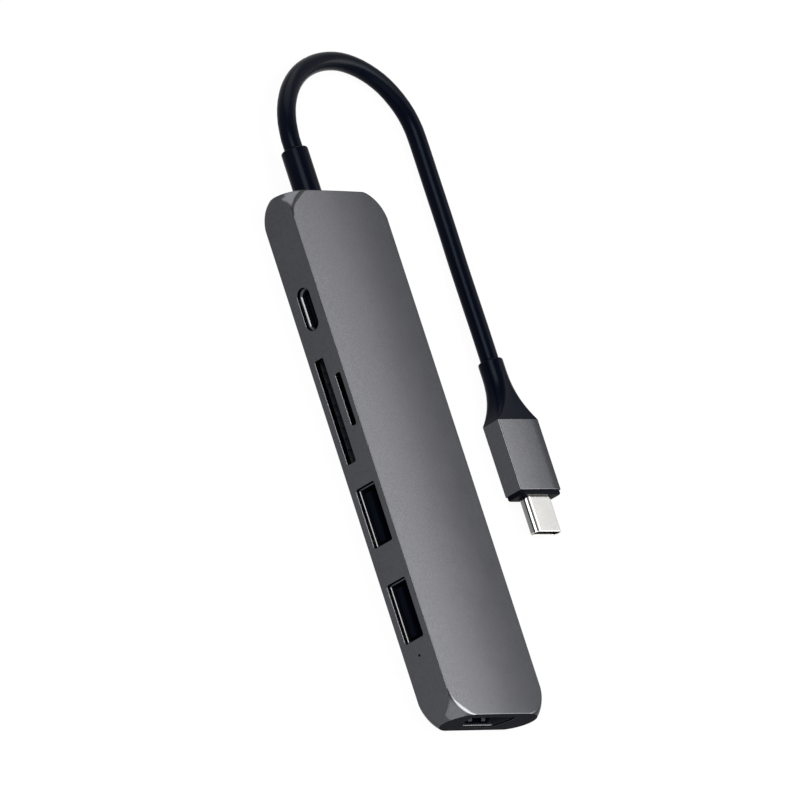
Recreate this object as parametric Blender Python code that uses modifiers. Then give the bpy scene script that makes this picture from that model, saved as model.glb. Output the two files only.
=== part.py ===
# Slim multiport hub: an aluminium bar with ports along one side and in one end, on a short captive cable.
# Metres, +Z up. The housing lies on its back with its middle over the origin: the side ports face -Y,
# the end port faces +X, the cable leaves at -X, and the plain front face looks up.
import math

import bmesh
import bpy
from mathutils import Matrix, Vector

MM = 0.001

# Fits
FIT_GAP = 0.3 * MM          # between pieces that touch on the real hub
SOLDER_GAP = 0.2 * MM       # between the board and what is soldered to it
PORT_GAP = 0.2 * MM         # round a connector in its opening
CUT_MARGIN = 1.0 * MM       # how far a cutter stands clear of the wall that it cuts

# Housing
HOUSING_LENGTH = 124.0 * MM
HOUSING_WIDTH = 31.0 * MM
HOUSING_THICKNESS = 9.0 * MM          # at the long edges
FRONT_CROWN = 0.3 * MM               # how far the front swells in the middle of its width
CROWN_STEPS = 9
SIDE_WALL = 1.5 * MM
END_WALL = 2.4 * MM
FRONT_WALL = 1.2 * MM
FACE_CORNER_RADIUS = 7.2 * MM       # corner seen from the front, at the front and back faces
MIDDLE_CORNER_CUT = 0.8 * MM        # what the corner still takes off each side half way through
EDGE_ROUNDING = 0.25 * MM
CORNER_STEPS = 8
COVER_THICKNESS = 1.0 * MM
COVER_LIP = 0.8 * MM                # wall left round the cover's recess
COVER_GAP = 0.15 * MM

# Board and its screws
BOARD_THICKNESS = 0.8 * MM
BOARD_FROM_CABLE_END = 8.0 * MM
BOARD_EDGE_GAP = 0.4 * MM
BOSS_RADIUS = 2.1 * MM
BOSS_BORE_DEPTH = 1.2 * MM
SCREW_RADIUS = 0.75 * MM
SCREW_HEAD_RADIUS = 1.5 * MM
SCREW_HEAD_HEIGHT = 0.7 * MM
SCREW_PLACES = (                    # from the cable end, and across from the middle
    (14.0 * MM, 9.5 * MM),
    (14.0 * MM, -9.5 * MM),
    (86.5 * MM, -9.5 * MM),
    (106.0 * MM, 9.5 * MM),
)

# Reversible side port
USB_C_FROM_CABLE_END = 26.6 * MM
USB_C_OPENING = (10.0 * MM, 3.6 * MM)
USB_C_WALL = 0.25 * MM
USB_C_SETBACK = 0.5 * MM
USB_C_DEPTH = 8.0 * MM
USB_C_BLOCK_DEPTH = 3.0 * MM
USB_C_TONGUE = (6.7 * MM, 0.7 * MM)
USB_C_TONGUE_SETBACK = 1.6 * MM

# Large card slot on the cover, small card slot over the board
CARD_SETBACK = 0.4 * MM
CARD_RAIL = 1.0 * MM
SD_FROM_CABLE_END = 50.2 * MM
SD_OPENING = (24.5 * MM, 2.5 * MM)
SD_PLATE = 0.5 * MM
SD_DEPTH = 18.0 * MM
SD_COVER = 0.2 * MM
SD_COMB_COUNT = 8
SD_COMB_PITCH = 2.6 * MM
SD_COMB_SLOT = (1.4 * MM, 0.3 * MM, 3.0 * MM)
MICROSD_FROM_CABLE_END = 48.9 * MM
MICROSD_OPENING = (12.4 * MM, 1.4 * MM)
MICROSD_PLATE = 0.3 * MM
MICROSD_SPACE = 0.9 * MM
MICROSD_DEPTH = 14.0 * MM
MICROSD_COVER = 0.15 * MM
MICROSD_HEADROOM = 0.15 * MM        # between its cover and the ceiling of the housing
MICROSD_OPENING_CORNER = 0.5 * MM
SD_OPENING_CORNER = 0.35 * MM

# Wide side ports
USB_A_FROM_CABLE_END = 75.2 * MM
USB_A_PITCH = 22.5 * MM
USB_A_COUNT = 2
USB_A_OPENING = (13.9 * MM, 5.5 * MM)
USB_A_CORNER = 0.5 * MM
USB_A_WALL = 0.25 * MM
USB_A_SETBACK = 0.8 * MM
USB_A_DEPTH = 13.2 * MM
USB_A_BLOCK_DEPTH = 3.8 * MM
USB_A_TONGUE = (11.6 * MM, 1.7 * MM)
USB_A_TONGUE_RISE = -1.0 * MM
USB_A_TONGUE_SETBACK = 1.5 * MM

# End port: wide at the front side, with slanted lower corners
HDMI_OFFSET = -1.0 * MM
HDMI_OPENING = (15.0 * MM, 5.5 * MM)
HDMI_FOOT_WIDTH = 9.7 * MM
HDMI_UPRIGHT = 2.0 * MM
HDMI_WALL = 0.3 * MM
HDMI_SETBACK = 0.3 * MM
HDMI_DEPTH = 11.3 * MM
HDMI_BLOCK_DEPTH = 3.5 * MM
HDMI_TONGUE = (10.4 * MM, 1.0 * MM)
HDMI_TONGUE_SETBACK = 2.0 * MM

# Indicator
LED_FROM_CABLE_END = 108.15 * MM
LED_HOLE_RADIUS = 0.3 * MM
LIGHT_PIPE_RADIUS = 0.6 * MM
LIGHT_PIPE_LENGTH = 1.1 * MM
LED_SIZE = (1.6 * MM, 0.8 * MM, 0.9 * MM)

# Parts on the board: length, width, height, distance from the cable end, distance across from the middle
TOP_PARTS = {
    "hub_controller_chip": (9.0 * MM, 9.0 * MM, 0.8 * MM, 62.0 * MM, 7.0 * MM),
    "video_converter_chip": (7.0 * MM, 7.0 * MM, 0.8 * MM, 92.0 * MM, 4.5 * MM),
    "card_reader_chip": (5.0 * MM, 5.0 * MM, 0.8 * MM, 43.0 * MM, 6.0 * MM),
    "power_delivery_chip": (5.0 * MM, 5.0 * MM, 0.8 * MM, 26.6 * MM, 3.0 * MM),
    "clock_crystal": (3.2 * MM, 2.5 * MM, 0.7 * MM, 72.0 * MM, 5.0 * MM),
}
UNDER_PARTS = {
    "power_inductor_1": (4.0 * MM, 4.0 * MM, 2.0 * MM, 26.6 * MM, 8.0 * MM),
    "power_inductor_2": (4.0 * MM, 4.0 * MM, 2.0 * MM, 70.0 * MM, 7.0 * MM),
    "bulk_capacitor_1": (3.5 * MM, 2.8 * MM, 1.9 * MM, 80.0 * MM, 7.0 * MM),
    "bulk_capacitor_2": (3.5 * MM, 2.8 * MM, 1.9 * MM, 98.0 * MM, 8.5 * MM),
}
CHIP_EDGE = 0.12 * MM

# Cable outlet and the wires behind it
OUTLET_OFFSET = -2.85 * MM
COLLAR_RADIUS = 3.05 * MM
COLLAR_LENGTH = 11.7 * MM
COLLAR_RIM_ROUNDING = 0.45 * MM
COLLAR_NECK_RADIUS = 2.3 * MM
COLLAR_FLANGE_RADIUS = 3.0 * MM
COLLAR_FLANGE_THICKNESS = 1.2 * MM
TURN_STEPS = 32
LEAD_WIRE_COUNT = 4
LEAD_WIRE_RADIUS = 0.35 * MM
LEAD_WIRE_SPACING = (1.1 * MM, 1.6 * MM)    # at the cable, and at the board
LEAD_WIRE_LENGTH = 7.5 * MM

# Cable: it leaves straight, sinks to the table, turns back and runs beside the housing to its plug
CABLE_DIAMETER = 4.2 * MM
CABLE_STEP = CABLE_DIAMETER
CABLE_LEAD_OUT = 2.5 * MM
TABLE_GAP = 0.05 * MM
CABLE_ROUTE = (                     # beyond the outlet's end face, across from its axis, rise over the table
    (18.9 * MM, 1.1 * MM, 2.10 * MM),
    (23.6 * MM, 3.7 * MM, 1.55 * MM),
    (28.3 * MM, 7.9 * MM, 0.95 * MM),
    (32.15 * MM, 13.5 * MM, 0.45 * MM),
    (34.65 * MM, 20.2 * MM, 0.10 * MM),
    (35.35 * MM, 26.8 * MM, 0.00 * MM),
    (34.35 * MM, 32.2 * MM, 0.00 * MM),
    (32.45 * MM, 36.6 * MM, 0.00 * MM),
    (29.9 * MM, 40.2 * MM, 0.00 * MM),
    (26.75 * MM, 42.9 * MM, 0.00 * MM),
    (23.3 * MM, 44.8 * MM, 0.00 * MM),
    (19.5 * MM, 45.8 * MM, 0.00 * MM),
    (15.3 * MM, 46.0 * MM, 0.00 * MM),
    (6.8 * MM, 46.0 * MM, 0.00 * MM),
    (-4.0 * MM, 46.0 * MM, 0.00 * MM),
    (-14.0 * MM, 45.7 * MM, 0.12 * MM),
    (-22.5 * MM, 45.35 * MM, 0.42 * MM),
    (-30.5 * MM, 45.05 * MM, 0.70 * MM),
)

# Plug: boot, sleeve, nose and tongue along one axis
PLUG_BACK = 37.6 * MM               # boot's rim, back along the housing from the cable end
PLUG_ASIDE = 44.95 * MM             # plug's axis, across from the outlet's axis
BOOT_RIM_RADIUS = 2.85 * MM
BOOT_RIM_ROUNDING = 0.4 * MM
BOOT_LENGTH = 14.9 * MM
BOOT_STRAIGHT = 2.5 * MM            # round part before the flare
BOOT_FLARE_POWER = 2.4              # how late the flare opens
BOOT_FLARE_RINGS = 9
BOOT_TENON_LENGTH = 2.0 * MM
SLEEVE_SIZE = (13.6 * MM, 4.95 * MM, 16.9 * MM)
SLEEVE_CROWN = 0.14 * MM            # how far its two wide sides swell
SLEEVE_CROWN_STEPS = 8
SLEEVE_WALL = 0.6 * MM
SLEEVE_CORNER = 0.25 * MM
SLEEVE_BORE_CORNER = 0.2 * MM
NOSE_LENGTH = 0.8 * MM
NOSE_CORNER = 1.1 * MM
NOSE_TENON_LENGTH = 2.5 * MM
PLUG_SHELL_SIZE = (9.0 * MM, 2.65 * MM)
PLUG_SHELL_WALL = 0.3 * MM
PLUG_REACH = 8.5 * MM               # metal tongue beyond the nose
PLUG_SLOT = (6.8 * MM, 0.85 * MM, 5.5 * MM)
PLUG_LINER_GAP = 0.12 * MM
PLUG_LINER_SETBACK = 0.3 * MM
PLUG_BOARD_SIZE = (9.6 * MM, 0.8 * MM)

# Places worked out from the sizes above
CABLE_END = -HOUSING_LENGTH / 2
PORT_END = HOUSING_LENGTH / 2
PORT_SIDE = -HOUSING_WIDTH / 2
PORT_LEVEL = HOUSING_THICKNESS / 2
CEILING = HOUSING_THICKNESS - FRONT_WALL
CARD_COVER_GAP = PORT_GAP / 2
MICROSD_STACK = MICROSD_PLATE + MICROSD_SPACE + CARD_COVER_GAP + MICROSD_COVER
BOARD_HIGH = CEILING - MICROSD_HEADROOM - MICROSD_STACK - SOLDER_GAP
BOARD_LOW = BOARD_HIGH - BOARD_THICKNESS
BOARD_RISE = BOARD_LOW - PORT_LEVEL     # board's lower face above the middle of the ports
SD_LEVEL = COVER_THICKNESS + FIT_GAP + SD_PLATE + SD_OPENING[1] / 2
MICROSD_LEVEL = BOARD_HIGH + SOLDER_GAP + MICROSD_PLATE + MICROSD_SPACE / 2
PLUG_HEIGHT = max(BOOT_RIM_RADIUS, SLEEVE_SIZE[1] / 2 + SLEEVE_CROWN) + TABLE_GAP
CABLE_LOW = CABLE_DIAMETER / 2 + TABLE_GAP

# Finishes: base colour, roughness, metallic
FINISHES = {
    "anodised_aluminium": ((0.11, 0.11, 0.118), 0.38, 1.0),
    "nickel": ((0.72, 0.71, 0.69), 0.22, 1.0),
    "steel": ((0.55, 0.55, 0.56), 0.3, 1.0),
    "black_plastic": ((0.012, 0.012, 0.014), 0.45, 0.0),
    "black_rubber": ((0.010, 0.010, 0.013), 0.42, 0.0),
    "circuit_board": ((0.02, 0.09, 0.05), 0.5, 0.0),
    "chip_resin": ((0.02, 0.02, 0.022), 0.6, 0.0),
    "ceramic": ((0.32, 0.29, 0.25), 0.5, 0.0),
    "clear_plastic": ((0.85, 0.87, 0.88), 0.15, 0.0),
    "silicone": ((0.45, 0.52, 0.60), 0.7, 0.0),
    "wire_insulation": ((0.35, 0.04, 0.04), 0.5, 0.0),
}

SIDE_FACING = (math.pi / 2, 0.0, 0.0)               # local z out of the side ports' face, local y up
END_FACING = (math.pi / 2, 0.0, math.pi / 2)        # local z towards +X, local y up
CABLE_FACING = (math.pi / 2, 0.0, -math.pi / 2)     # local z towards -X, local y up


def clear_scene():
    for item in list(bpy.data.objects):
        bpy.data.objects.remove(item, do_unlink=True)


def new_collection(name):
    collection = bpy.data.collections.new(name)
    bpy.context.scene.collection.children.link(collection)
    return collection


clear_scene()
PARTS = new_collection("usb_hub")
CUTTERS = new_collection("cutters")


def finish(name):
    found = bpy.data.materials.get(name)
    if found:
        return found
    colour, roughness, metallic = FINISHES[name]
    material = bpy.data.materials.new(name)
    material.use_nodes = True
    shader = material.node_tree.nodes["Principled BSDF"]
    shader.inputs["Base Color"].default_value = (*colour, 1.0)
    shader.inputs["Roughness"].default_value = roughness
    shader.inputs["Metallic"].default_value = metallic
    return material


def holder(name, place, facing=(0.0, 0.0, 0.0)):
    empty = bpy.data.objects.new(name, None)
    empty.location = place
    empty.rotation_euler = facing
    PARTS.objects.link(empty)
    return empty


def part(name, mesh, finish_name, parent=None):
    piece = bpy.data.objects.new(name, mesh)
    piece.parent = parent
    mesh.materials.clear()
    mesh.materials.append(finish(finish_name))
    mesh.shade_smooth()
    mesh.set_sharp_from_angle(angle=math.radians(35))
    PARTS.objects.link(piece)
    return piece


def cutter(name, mesh, parent=None):
    tool = bpy.data.objects.new(name, mesh)
    tool.parent = parent
    tool.hide_render = True
    tool.display_type = "WIRE"
    CUTTERS.objects.link(tool)
    return tool


def combine(piece, tool, operation):
    step = piece.modifiers.new(tool.name, "BOOLEAN")
    step.object = tool
    step.operation = operation
    step.solver = "EXACT"


def cut(piece, *tools):
    for tool in tools:
        combine(piece, tool, "DIFFERENCE")


def join(piece, tool):
    combine(piece, tool, "UNION")


def round_edges(piece, width, segments=2):
    step = piece.modifiers.new("edges", "BEVEL")
    step.width = width
    step.segments = segments
    step.limit_method = "ANGLE"
    step.angle_limit = math.radians(50)


def finished_mesh(name, bm):
    bmesh.ops.recalc_face_normals(bm, faces=bm.faces)
    mesh = bpy.data.meshes.new(name)
    bm.to_mesh(mesh)
    bm.free()
    return mesh


def box_mesh(name, low, high):
    size = Vector(high) - Vector(low)
    middle = (Vector(high) + Vector(low)) / 2
    bm = bmesh.new()
    bmesh.ops.create_cube(bm, size=1.0, matrix=Matrix.Translation(middle) @ Matrix.Diagonal((*size, 1.0)))
    return finished_mesh(name, bm)


def rod_mesh(name, radius, low, high, places=((0.0, 0.0),), steps=TURN_STEPS):
    bm = bmesh.new()
    for x, y in places:
        middle = Matrix.Translation((x, y, (low + high) / 2))
        bmesh.ops.create_cone(bm, cap_ends=True, segments=steps, radius1=radius, radius2=radius,
                              depth=high - low, matrix=middle)
    return finished_mesh(name, bm)


def arc(middle_x, middle_y, radius, start, end, steps):
    turn = [start + (end - start) * step / steps for step in range(steps + 1)]
    return [(middle_x + radius * math.cos(angle), middle_y + radius * math.sin(angle)) for angle in turn]


def rounded_rectangle(length, width, radius, steps=4):
    outline = []
    for quarter, (side_x, side_y) in enumerate(((1, 1), (-1, 1), (-1, -1), (1, -1))):
        start = quarter * math.pi / 2
        outline += arc(side_x * (length / 2 - radius), side_y * (width / 2 - radius), radius,
                       start, start + math.pi / 2, steps)
    return outline


def stadium(length, height, steps=8):
    radius = height / 2
    reach = length / 2 - radius
    return (arc(reach, 0.0, radius, -math.pi / 2, math.pi / 2, steps)
            + arc(-reach, 0.0, radius, math.pi / 2, math.pi * 1.5, steps))


def end_port_outline(inset):
    width, height = HDMI_OPENING
    half = width / 2 - inset
    top = height / 2 - inset
    foot = HDMI_FOOT_WIDTH / 2 - inset / 2
    shoulder = height / 2 - HDMI_UPRIGHT
    return [(half, top), (-half, top), (-half, shoulder), (-foot, -top), (foot, -top), (half, shoulder)]


def prism_mesh(name, outline, low, high):
    curve = bpy.data.curves.new(name, "CURVE")
    curve.dimensions = "2D"
    curve.fill_mode = "BOTH"
    curve.extrude = (high - low) / 2
    spline = curve.splines.new("POLY")
    spline.points.add(len(outline) - 1)
    for point, (x, y) in zip(spline.points, outline):
        point.co = (x, y, 0.0, 1.0)
    spline.use_cyclic_u = True
    guide = bpy.data.objects.new(name, curve)
    CUTTERS.objects.link(guide)
    seen = bpy.context.evaluated_depsgraph_get()
    flat = bpy.data.meshes.new_from_object(guide.evaluated_get(seen))
    bpy.data.objects.remove(guide, do_unlink=True)
    bm = bmesh.new()
    bm.from_mesh(flat)
    bpy.data.meshes.remove(flat)
    bmesh.ops.remove_doubles(bm, verts=bm.verts, dist=0.001 * MM)
    bmesh.ops.translate(bm, verts=bm.verts, vec=(0.0, 0.0, (low + high) / 2))
    return finished_mesh(name, bm)


def tube_part(name, outline, low, high, wall, finish_name, parent):
    # An open wall along local z, thickened inwards
    bm = bmesh.new()
    ring = [bm.verts.new((x, y, low)) for x, y in outline]
    edges = [bm.edges.new((ring[index - 1], ring[index])) for index in range(len(ring))]
    grown = bmesh.ops.extrude_edge_only(bm, edges=edges)["geom"]
    far = [item for item in grown if isinstance(item, bmesh.types.BMVert)]
    bmesh.ops.translate(bm, verts=far, vec=(0.0, 0.0, high - low))
    piece = part(name, finished_mesh(name, bm), finish_name, parent)
    step = piece.modifiers.new("wall", "SOLIDIFY")
    step.thickness = wall
    step.offset = -1.0
    step.use_even_offset = True
    return piece


def turned_part(name, profile, finish_name, parent):
    # A half profile in local x and z, from the top of the axis round to its foot
    bm = bmesh.new()
    row = [bm.verts.new((radius, 0.0, height)) for radius, height in profile]
    for upper, lower in zip(row, row[1:]):
        bm.edges.new((upper, lower))
    mesh = bpy.data.meshes.new(name)
    bm.to_mesh(mesh)
    bm.free()
    piece = part(name, mesh, finish_name, parent)
    step = piece.modifiers.new("turn", "SCREW")
    step.steps = TURN_STEPS
    step.render_steps = TURN_STEPS
    step.use_merge_vertices = True
    step.merge_threshold = 0.001 * MM
    step.use_smooth_shade = True
    return piece


def loft_mesh(name, rings):
    bm = bmesh.new()
    loops = [[bm.verts.new(point) for point in ring] for ring in rings]
    for lower, upper in zip(loops, loops[1:]):
        for index in range(len(lower)):
            bm.faces.new((lower[index - 1], lower[index], upper[index], upper[index - 1]))
    bm.faces.new(loops[0])
    bm.faces.new(loops[-1])
    return finished_mesh(name, bm)


def wire_part(name, points, radius, resolution, finish_name, parent=None):
    curve = bpy.data.curves.new(name, "CURVE")
    curve.dimensions = "3D"
    curve.bevel_depth = radius
    curve.bevel_resolution = resolution
    curve.use_fill_caps = True
    spline = curve.splines.new("POLY")
    spline.points.add(len(points) - 1)
    for point, place in zip(spline.points, points):
        point.co = (*place, 1.0)
    piece = bpy.data.objects.new(name, curve)
    piece.parent = parent
    curve.materials.append(finish(finish_name))
    PARTS.objects.link(piece)
    return piece


def smooth_route(points, step):
    # Catmull-Rom curve through the points, read at even steps along its length
    ends = [2 * points[0] - points[1]] + points + [2 * points[-1] - points[-2]]
    dense = []
    slices = 20
    for before, start, end, after in zip(ends, ends[1:], ends[2:], ends[3:]):
        for count in range(slices):
            t = count / slices
            dense.append(0.5 * (2 * start + (end - before) * t
                                + (2 * before - 5 * start + 4 * end - after) * t ** 2
                                + (3 * start - before - 3 * end + after) * t ** 3))
    dense.append(points[-1])
    runs = [0.0]
    for last, here in zip(dense, dense[1:]):
        runs.append(runs[-1] + (here - last).length)
    count = round(runs[-1] / step)
    route = []
    index = 0
    for number in range(count):
        wanted = runs[-1] * number / count
        while runs[index + 1] < wanted:
            index += 1
        share = (wanted - runs[index]) / (runs[index + 1] - runs[index])
        route.append(dense[index].lerp(dense[index + 1], share))
    route.append(dense[-1])
    return route


# Housing

def cut_corners(length, width, radius, reach):
    # Each corner is one arc, pushed out so that both sides run on by the reach and meet it in a crease
    push = (reach + radius - math.sqrt((reach + radius) ** 2 - 2 * reach ** 2)) / 2
    meeting = math.acos((radius - push) / radius)
    outline = []
    for quarter, (side_x, side_y) in enumerate(((1, 1), (-1, 1), (-1, -1), (1, -1))):
        middle_x = side_x * (length / 2 - radius + push)
        middle_y = side_y * (width / 2 - radius + push)
        start = quarter * math.pi / 2 + meeting
        end = (quarter + 1) * math.pi / 2 - meeting
        outline += arc(middle_x, middle_y, radius, start, end, CORNER_STEPS)
    return outline


def housing_section(height):
    # Outline at one height: full round corners at the faces, small cut ones half way up
    share = abs(2 * height / HOUSING_THICKNESS - 1)
    reach = (FACE_CORNER_RADIUS - MIDDLE_CORNER_CUT) * math.sqrt(max(0.0, 1 - share ** 2))
    depth = min(height, HOUSING_THICKNESS - height)
    inset = 0.0
    if depth < EDGE_ROUNDING:
        inset = EDGE_ROUNDING - math.sqrt(EDGE_ROUNDING ** 2 - (EDGE_ROUNDING - depth) ** 2)
    outline = cut_corners(HOUSING_LENGTH - 2 * inset, HOUSING_WIDTH - 2 * inset,
                          FACE_CORNER_RADIUS - inset, reach)
    corner = CORNER_STEPS + 1
    right = outline[3 * corner:] + between(outline[-1], outline[0], CROWN_STEPS) + outline[:corner]
    lift = FRONT_CROWN * max(0.0, 2 * height / HOUSING_THICKNESS - 1)
    right = [(x, y, height + lift * (1 - (2 * y / HOUSING_WIDTH) ** 2)) for x, y in right]
    return right + [(-x, y, z) for x, y, z in reversed(right)]


def between(start, end, steps):
    shares = [step / steps for step in range(1, steps)]
    run_x = end[0] - start[0]
    run_y = end[1] - start[1]
    return [(start[0] + run_x * share, start[1] + run_y * share) for share in shares]


def housing_mesh():
    # Sections joined up the thickness, a flat back, and a front laid in strips along the length
    rings = [housing_section(height) for height in housing_heights()]
    bm = bmesh.new()
    loops = [[bm.verts.new(point) for point in ring] for ring in rings]
    for lower, upper in zip(loops, loops[1:]):
        for index in range(len(lower)):
            bm.faces.new((lower[index - 1], lower[index], upper[index], upper[index - 1]))
    bm.faces.new(loops[0])
    half = len(loops[-1]) // 2
    right = loops[-1][:half]
    left = loops[-1][half:][::-1]
    for index in range(half - 1):
        bm.faces.new((right[index], right[index + 1], left[index + 1], left[index]))
    return finished_mesh("housing_shell", bm)


def housing_heights():
    half = HOUSING_THICKNESS / 2
    low = [EDGE_ROUNDING * (1 - math.sin(math.radians(angle))) for angle in (90, 60, 30, 0)]
    low += [half * (1 - math.cos(math.radians(angle))) for angle in (30, 45, 60, 75)]
    return low + [half] + [HOUSING_THICKNESS - height for height in reversed(low)]


def cover_outline(gap):
    lip = COVER_LIP + gap
    length = HOUSING_LENGTH - 2 * lip
    width = HOUSING_WIDTH - 2 * lip
    return rounded_rectangle(length, width, FACE_CORNER_RADIUS - lip, CORNER_STEPS)


def screw_places():
    return [(CABLE_END + along, across) for along, across in SCREW_PLACES]


def housing_pocket():
    length = HOUSING_LENGTH - 2 * END_WALL
    width = HOUSING_WIDTH - 2 * SIDE_WALL
    outline = rounded_rectangle(length, width, FACE_CORNER_RADIUS - SIDE_WALL, CORNER_STEPS)
    return cutter("pocket", prism_mesh("pocket", outline, -CUT_MARGIN, CEILING))


def cover_recess():
    high = COVER_THICKNESS + FIT_GAP
    return cutter("cover_recess", prism_mesh("cover_recess", cover_outline(0.0), -CUT_MARGIN, high))


def screw_bosses():
    low = BOARD_HIGH + FIT_GAP
    high = CEILING + FRONT_WALL / 2
    return cutter("screw_bosses", rod_mesh("screw_bosses", BOSS_RADIUS, low, high, screw_places(), 24))


def boss_bores():
    low = BOARD_HIGH - CUT_MARGIN
    high = BOARD_HIGH + FIT_GAP + BOSS_BORE_DEPTH
    return cutter("boss_bores", rod_mesh("boss_bores", SCREW_RADIUS + FIT_GAP, low, high, screw_places(), 16))


def wall_opening(name, outline, wall, parent):
    return cutter(name, prism_mesh(name, outline, -wall - CUT_MARGIN, CUT_MARGIN), parent)


def build_housing(sites):
    shell = part("housing_shell", housing_mesh(), "anodised_aluminium")
    cut(shell, housing_pocket(), cover_recess())
    join(shell, screw_bosses())
    cut(shell, boss_bores())
    sd_outline = rounded_rectangle(*SD_OPENING, SD_OPENING_CORNER)
    microsd_outline = rounded_rectangle(*MICROSD_OPENING, MICROSD_OPENING_CORNER)
    cut(shell, wall_opening("usb_c_opening", stadium(*USB_C_OPENING), SIDE_WALL, sites["usb_c"]))
    cut(shell, wall_opening("sd_opening", sd_outline, SIDE_WALL, sites["sd"]))
    cut(shell, wall_opening("microsd_opening", microsd_outline, SIDE_WALL, sites["microsd"]))
    for number in range(1, USB_A_COUNT + 1):
        outline = rounded_rectangle(*USB_A_OPENING, USB_A_CORNER)
        cut(shell, wall_opening(f"usb_a_opening_{number}", outline, SIDE_WALL, sites[f"usb_a_{number}"]))
    cut(shell, wall_opening("hdmi_opening", end_port_outline(0.0), END_WALL, sites["hdmi"]))
    led_hole = rod_mesh("led_hole", LED_HOLE_RADIUS, -SIDE_WALL - CUT_MARGIN, CUT_MARGIN, steps=16)
    cut(shell, cutter("led_hole", led_hole, sites["led"]))
    neck_hole = rod_mesh("neck_hole", COLLAR_NECK_RADIUS + FIT_GAP, -END_WALL - CUT_MARGIN, CUT_MARGIN)
    cut(shell, cutter("neck_hole", neck_hole, sites["outlet"]))


def build_back_cover():
    cover = part("back_cover", prism_mesh("back_cover", cover_outline(COVER_GAP), 0.0, COVER_THICKNESS),
                 "anodised_aluminium")
    round_edges(cover, EDGE_ROUNDING / 2, 1)


# Board

def board_notch(name, width, depth, parent):
    # Room for a connector that sits half sunk in the board's edge
    low = (-width / 2 - FIT_GAP, -HOUSING_THICKNESS, -depth - FIT_GAP)
    high = (width / 2 + FIT_GAP, HOUSING_THICKNESS, CUT_MARGIN)
    return cutter(name, box_mesh(name, low, high), parent)


def build_board(sites):
    start = CABLE_END + BOARD_FROM_CABLE_END
    end = PORT_END - END_WALL - BOARD_EDGE_GAP
    width = HOUSING_WIDTH - 2 * (SIDE_WALL + BOARD_EDGE_GAP)
    radius = FACE_CORNER_RADIUS - SIDE_WALL - BOARD_EDGE_GAP
    outline = [(x + (start + end) / 2, y) for x, y in rounded_rectangle(end - start, width, radius)]
    board = part("main_board", prism_mesh("main_board", outline, BOARD_LOW, BOARD_HIGH), "circuit_board")
    cut(board, board_notch("usb_c_notch", USB_C_OPENING[0], USB_C_SETBACK + USB_C_DEPTH, sites["usb_c"]))
    for number in range(1, USB_A_COUNT + 1):
        site = sites[f"usb_a_{number}"]
        cut(board, board_notch(f"usb_a_notch_{number}", USB_A_OPENING[0], USB_A_SETBACK + USB_A_DEPTH, site))
    cut(board, board_notch("hdmi_notch", HDMI_OPENING[0], HDMI_SETBACK + HDMI_DEPTH, sites["hdmi"]))
    pipe_depth = SIDE_WALL + FIT_GAP + LIGHT_PIPE_LENGTH
    cut(board, board_notch("light_pipe_notch", 2 * LIGHT_PIPE_RADIUS, pipe_depth, sites["led"]))
    holes = rod_mesh("screw_holes", SCREW_RADIUS + FIT_GAP, BOARD_LOW - CUT_MARGIN, BOARD_HIGH + CUT_MARGIN,
                     screw_places(), 16)
    cut(board, cutter("screw_holes", holes))


def build_screws():
    head_top = BOARD_LOW - SOLDER_GAP
    head_foot = head_top - SCREW_HEAD_HEIGHT
    tip = BOARD_HIGH + BOSS_BORE_DEPTH
    profile = [(0.0, tip), (SCREW_RADIUS, tip), (SCREW_RADIUS, head_top), (SCREW_HEAD_RADIUS, head_top),
               (SCREW_HEAD_RADIUS, head_foot + SCREW_HEAD_HEIGHT / 3),
               (SCREW_HEAD_RADIUS * 0.75, head_foot), (0.0, head_foot)]
    for number, (x, y) in enumerate(screw_places(), 1):
        screw = turned_part(f"board_screw_{number}", profile, "steel", None)
        screw.location = (x, y, 0.0)
        screw.modifiers["turn"].steps = 16
        screw.modifiers["turn"].render_steps = 16


def build_board_parts():
    resin = {"clock_crystal": "steel", "power_inductor_1": "ceramic", "power_inductor_2": "ceramic"}
    rows = [(name, sizes, BOARD_HIGH + SOLDER_GAP) for name, sizes in TOP_PARTS.items()]
    rows += [(name, sizes, BOARD_LOW - SOLDER_GAP - sizes[2]) for name, sizes in UNDER_PARTS.items()]
    for name, (length, width, height, along, across), low in rows:
        middle = Vector((CABLE_END + along, across, low + height / 2))
        half = Vector((length, width, height)) / 2
        chip = part(name, box_mesh(name, middle - half, middle + half), resin.get(name, "chip_resin"))
        round_edges(chip, CHIP_EDGE, 1)


def build_thermal_pad():
    length, width, height, along, across = TOP_PARTS["hub_controller_chip"]
    low = BOARD_HIGH + SOLDER_GAP + height + SOLDER_GAP
    middle = (CABLE_END + along, across)
    mesh = box_mesh("thermal_pad", (middle[0] - length / 2, middle[1] - width / 2, low),
                    (middle[0] + length / 2, middle[1] + width / 2, CEILING - SOLDER_GAP))
    part("thermal_pad", mesh, "silicone")


def build_indicator(site):
    wall_face = -SIDE_WALL - FIT_GAP
    pipe_end = wall_face - LIGHT_PIPE_LENGTH
    pipe = rod_mesh("light_pipe", LIGHT_PIPE_RADIUS, pipe_end, wall_face, steps=16)
    part("light_pipe", pipe, "clear_plastic", site)
    length, depth, height = LED_SIZE
    top = BOARD_RISE - SOLDER_GAP
    face = pipe_end - FIT_GAP
    mesh = box_mesh("status_led", (-length / 2, top - height, face - depth), (length / 2, top, face))
    part("status_led", mesh, "clear_plastic", site)


# Ports

def build_tongue(name, block_mesh, tongue, rise, block_front, tongue_front, site):
    # A moulded block at the back of the port with the contact tongue standing out of it
    width, thickness = tongue
    body = part(name, block_mesh, "black_plastic", site)
    low = (-width / 2, rise - thickness / 2, block_front - CUT_MARGIN)
    high = (width / 2, rise + thickness / 2, tongue_front)
    join(body, cutter(f"{name}_blade", box_mesh(f"{name}_blade", low, high), site))


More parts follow.
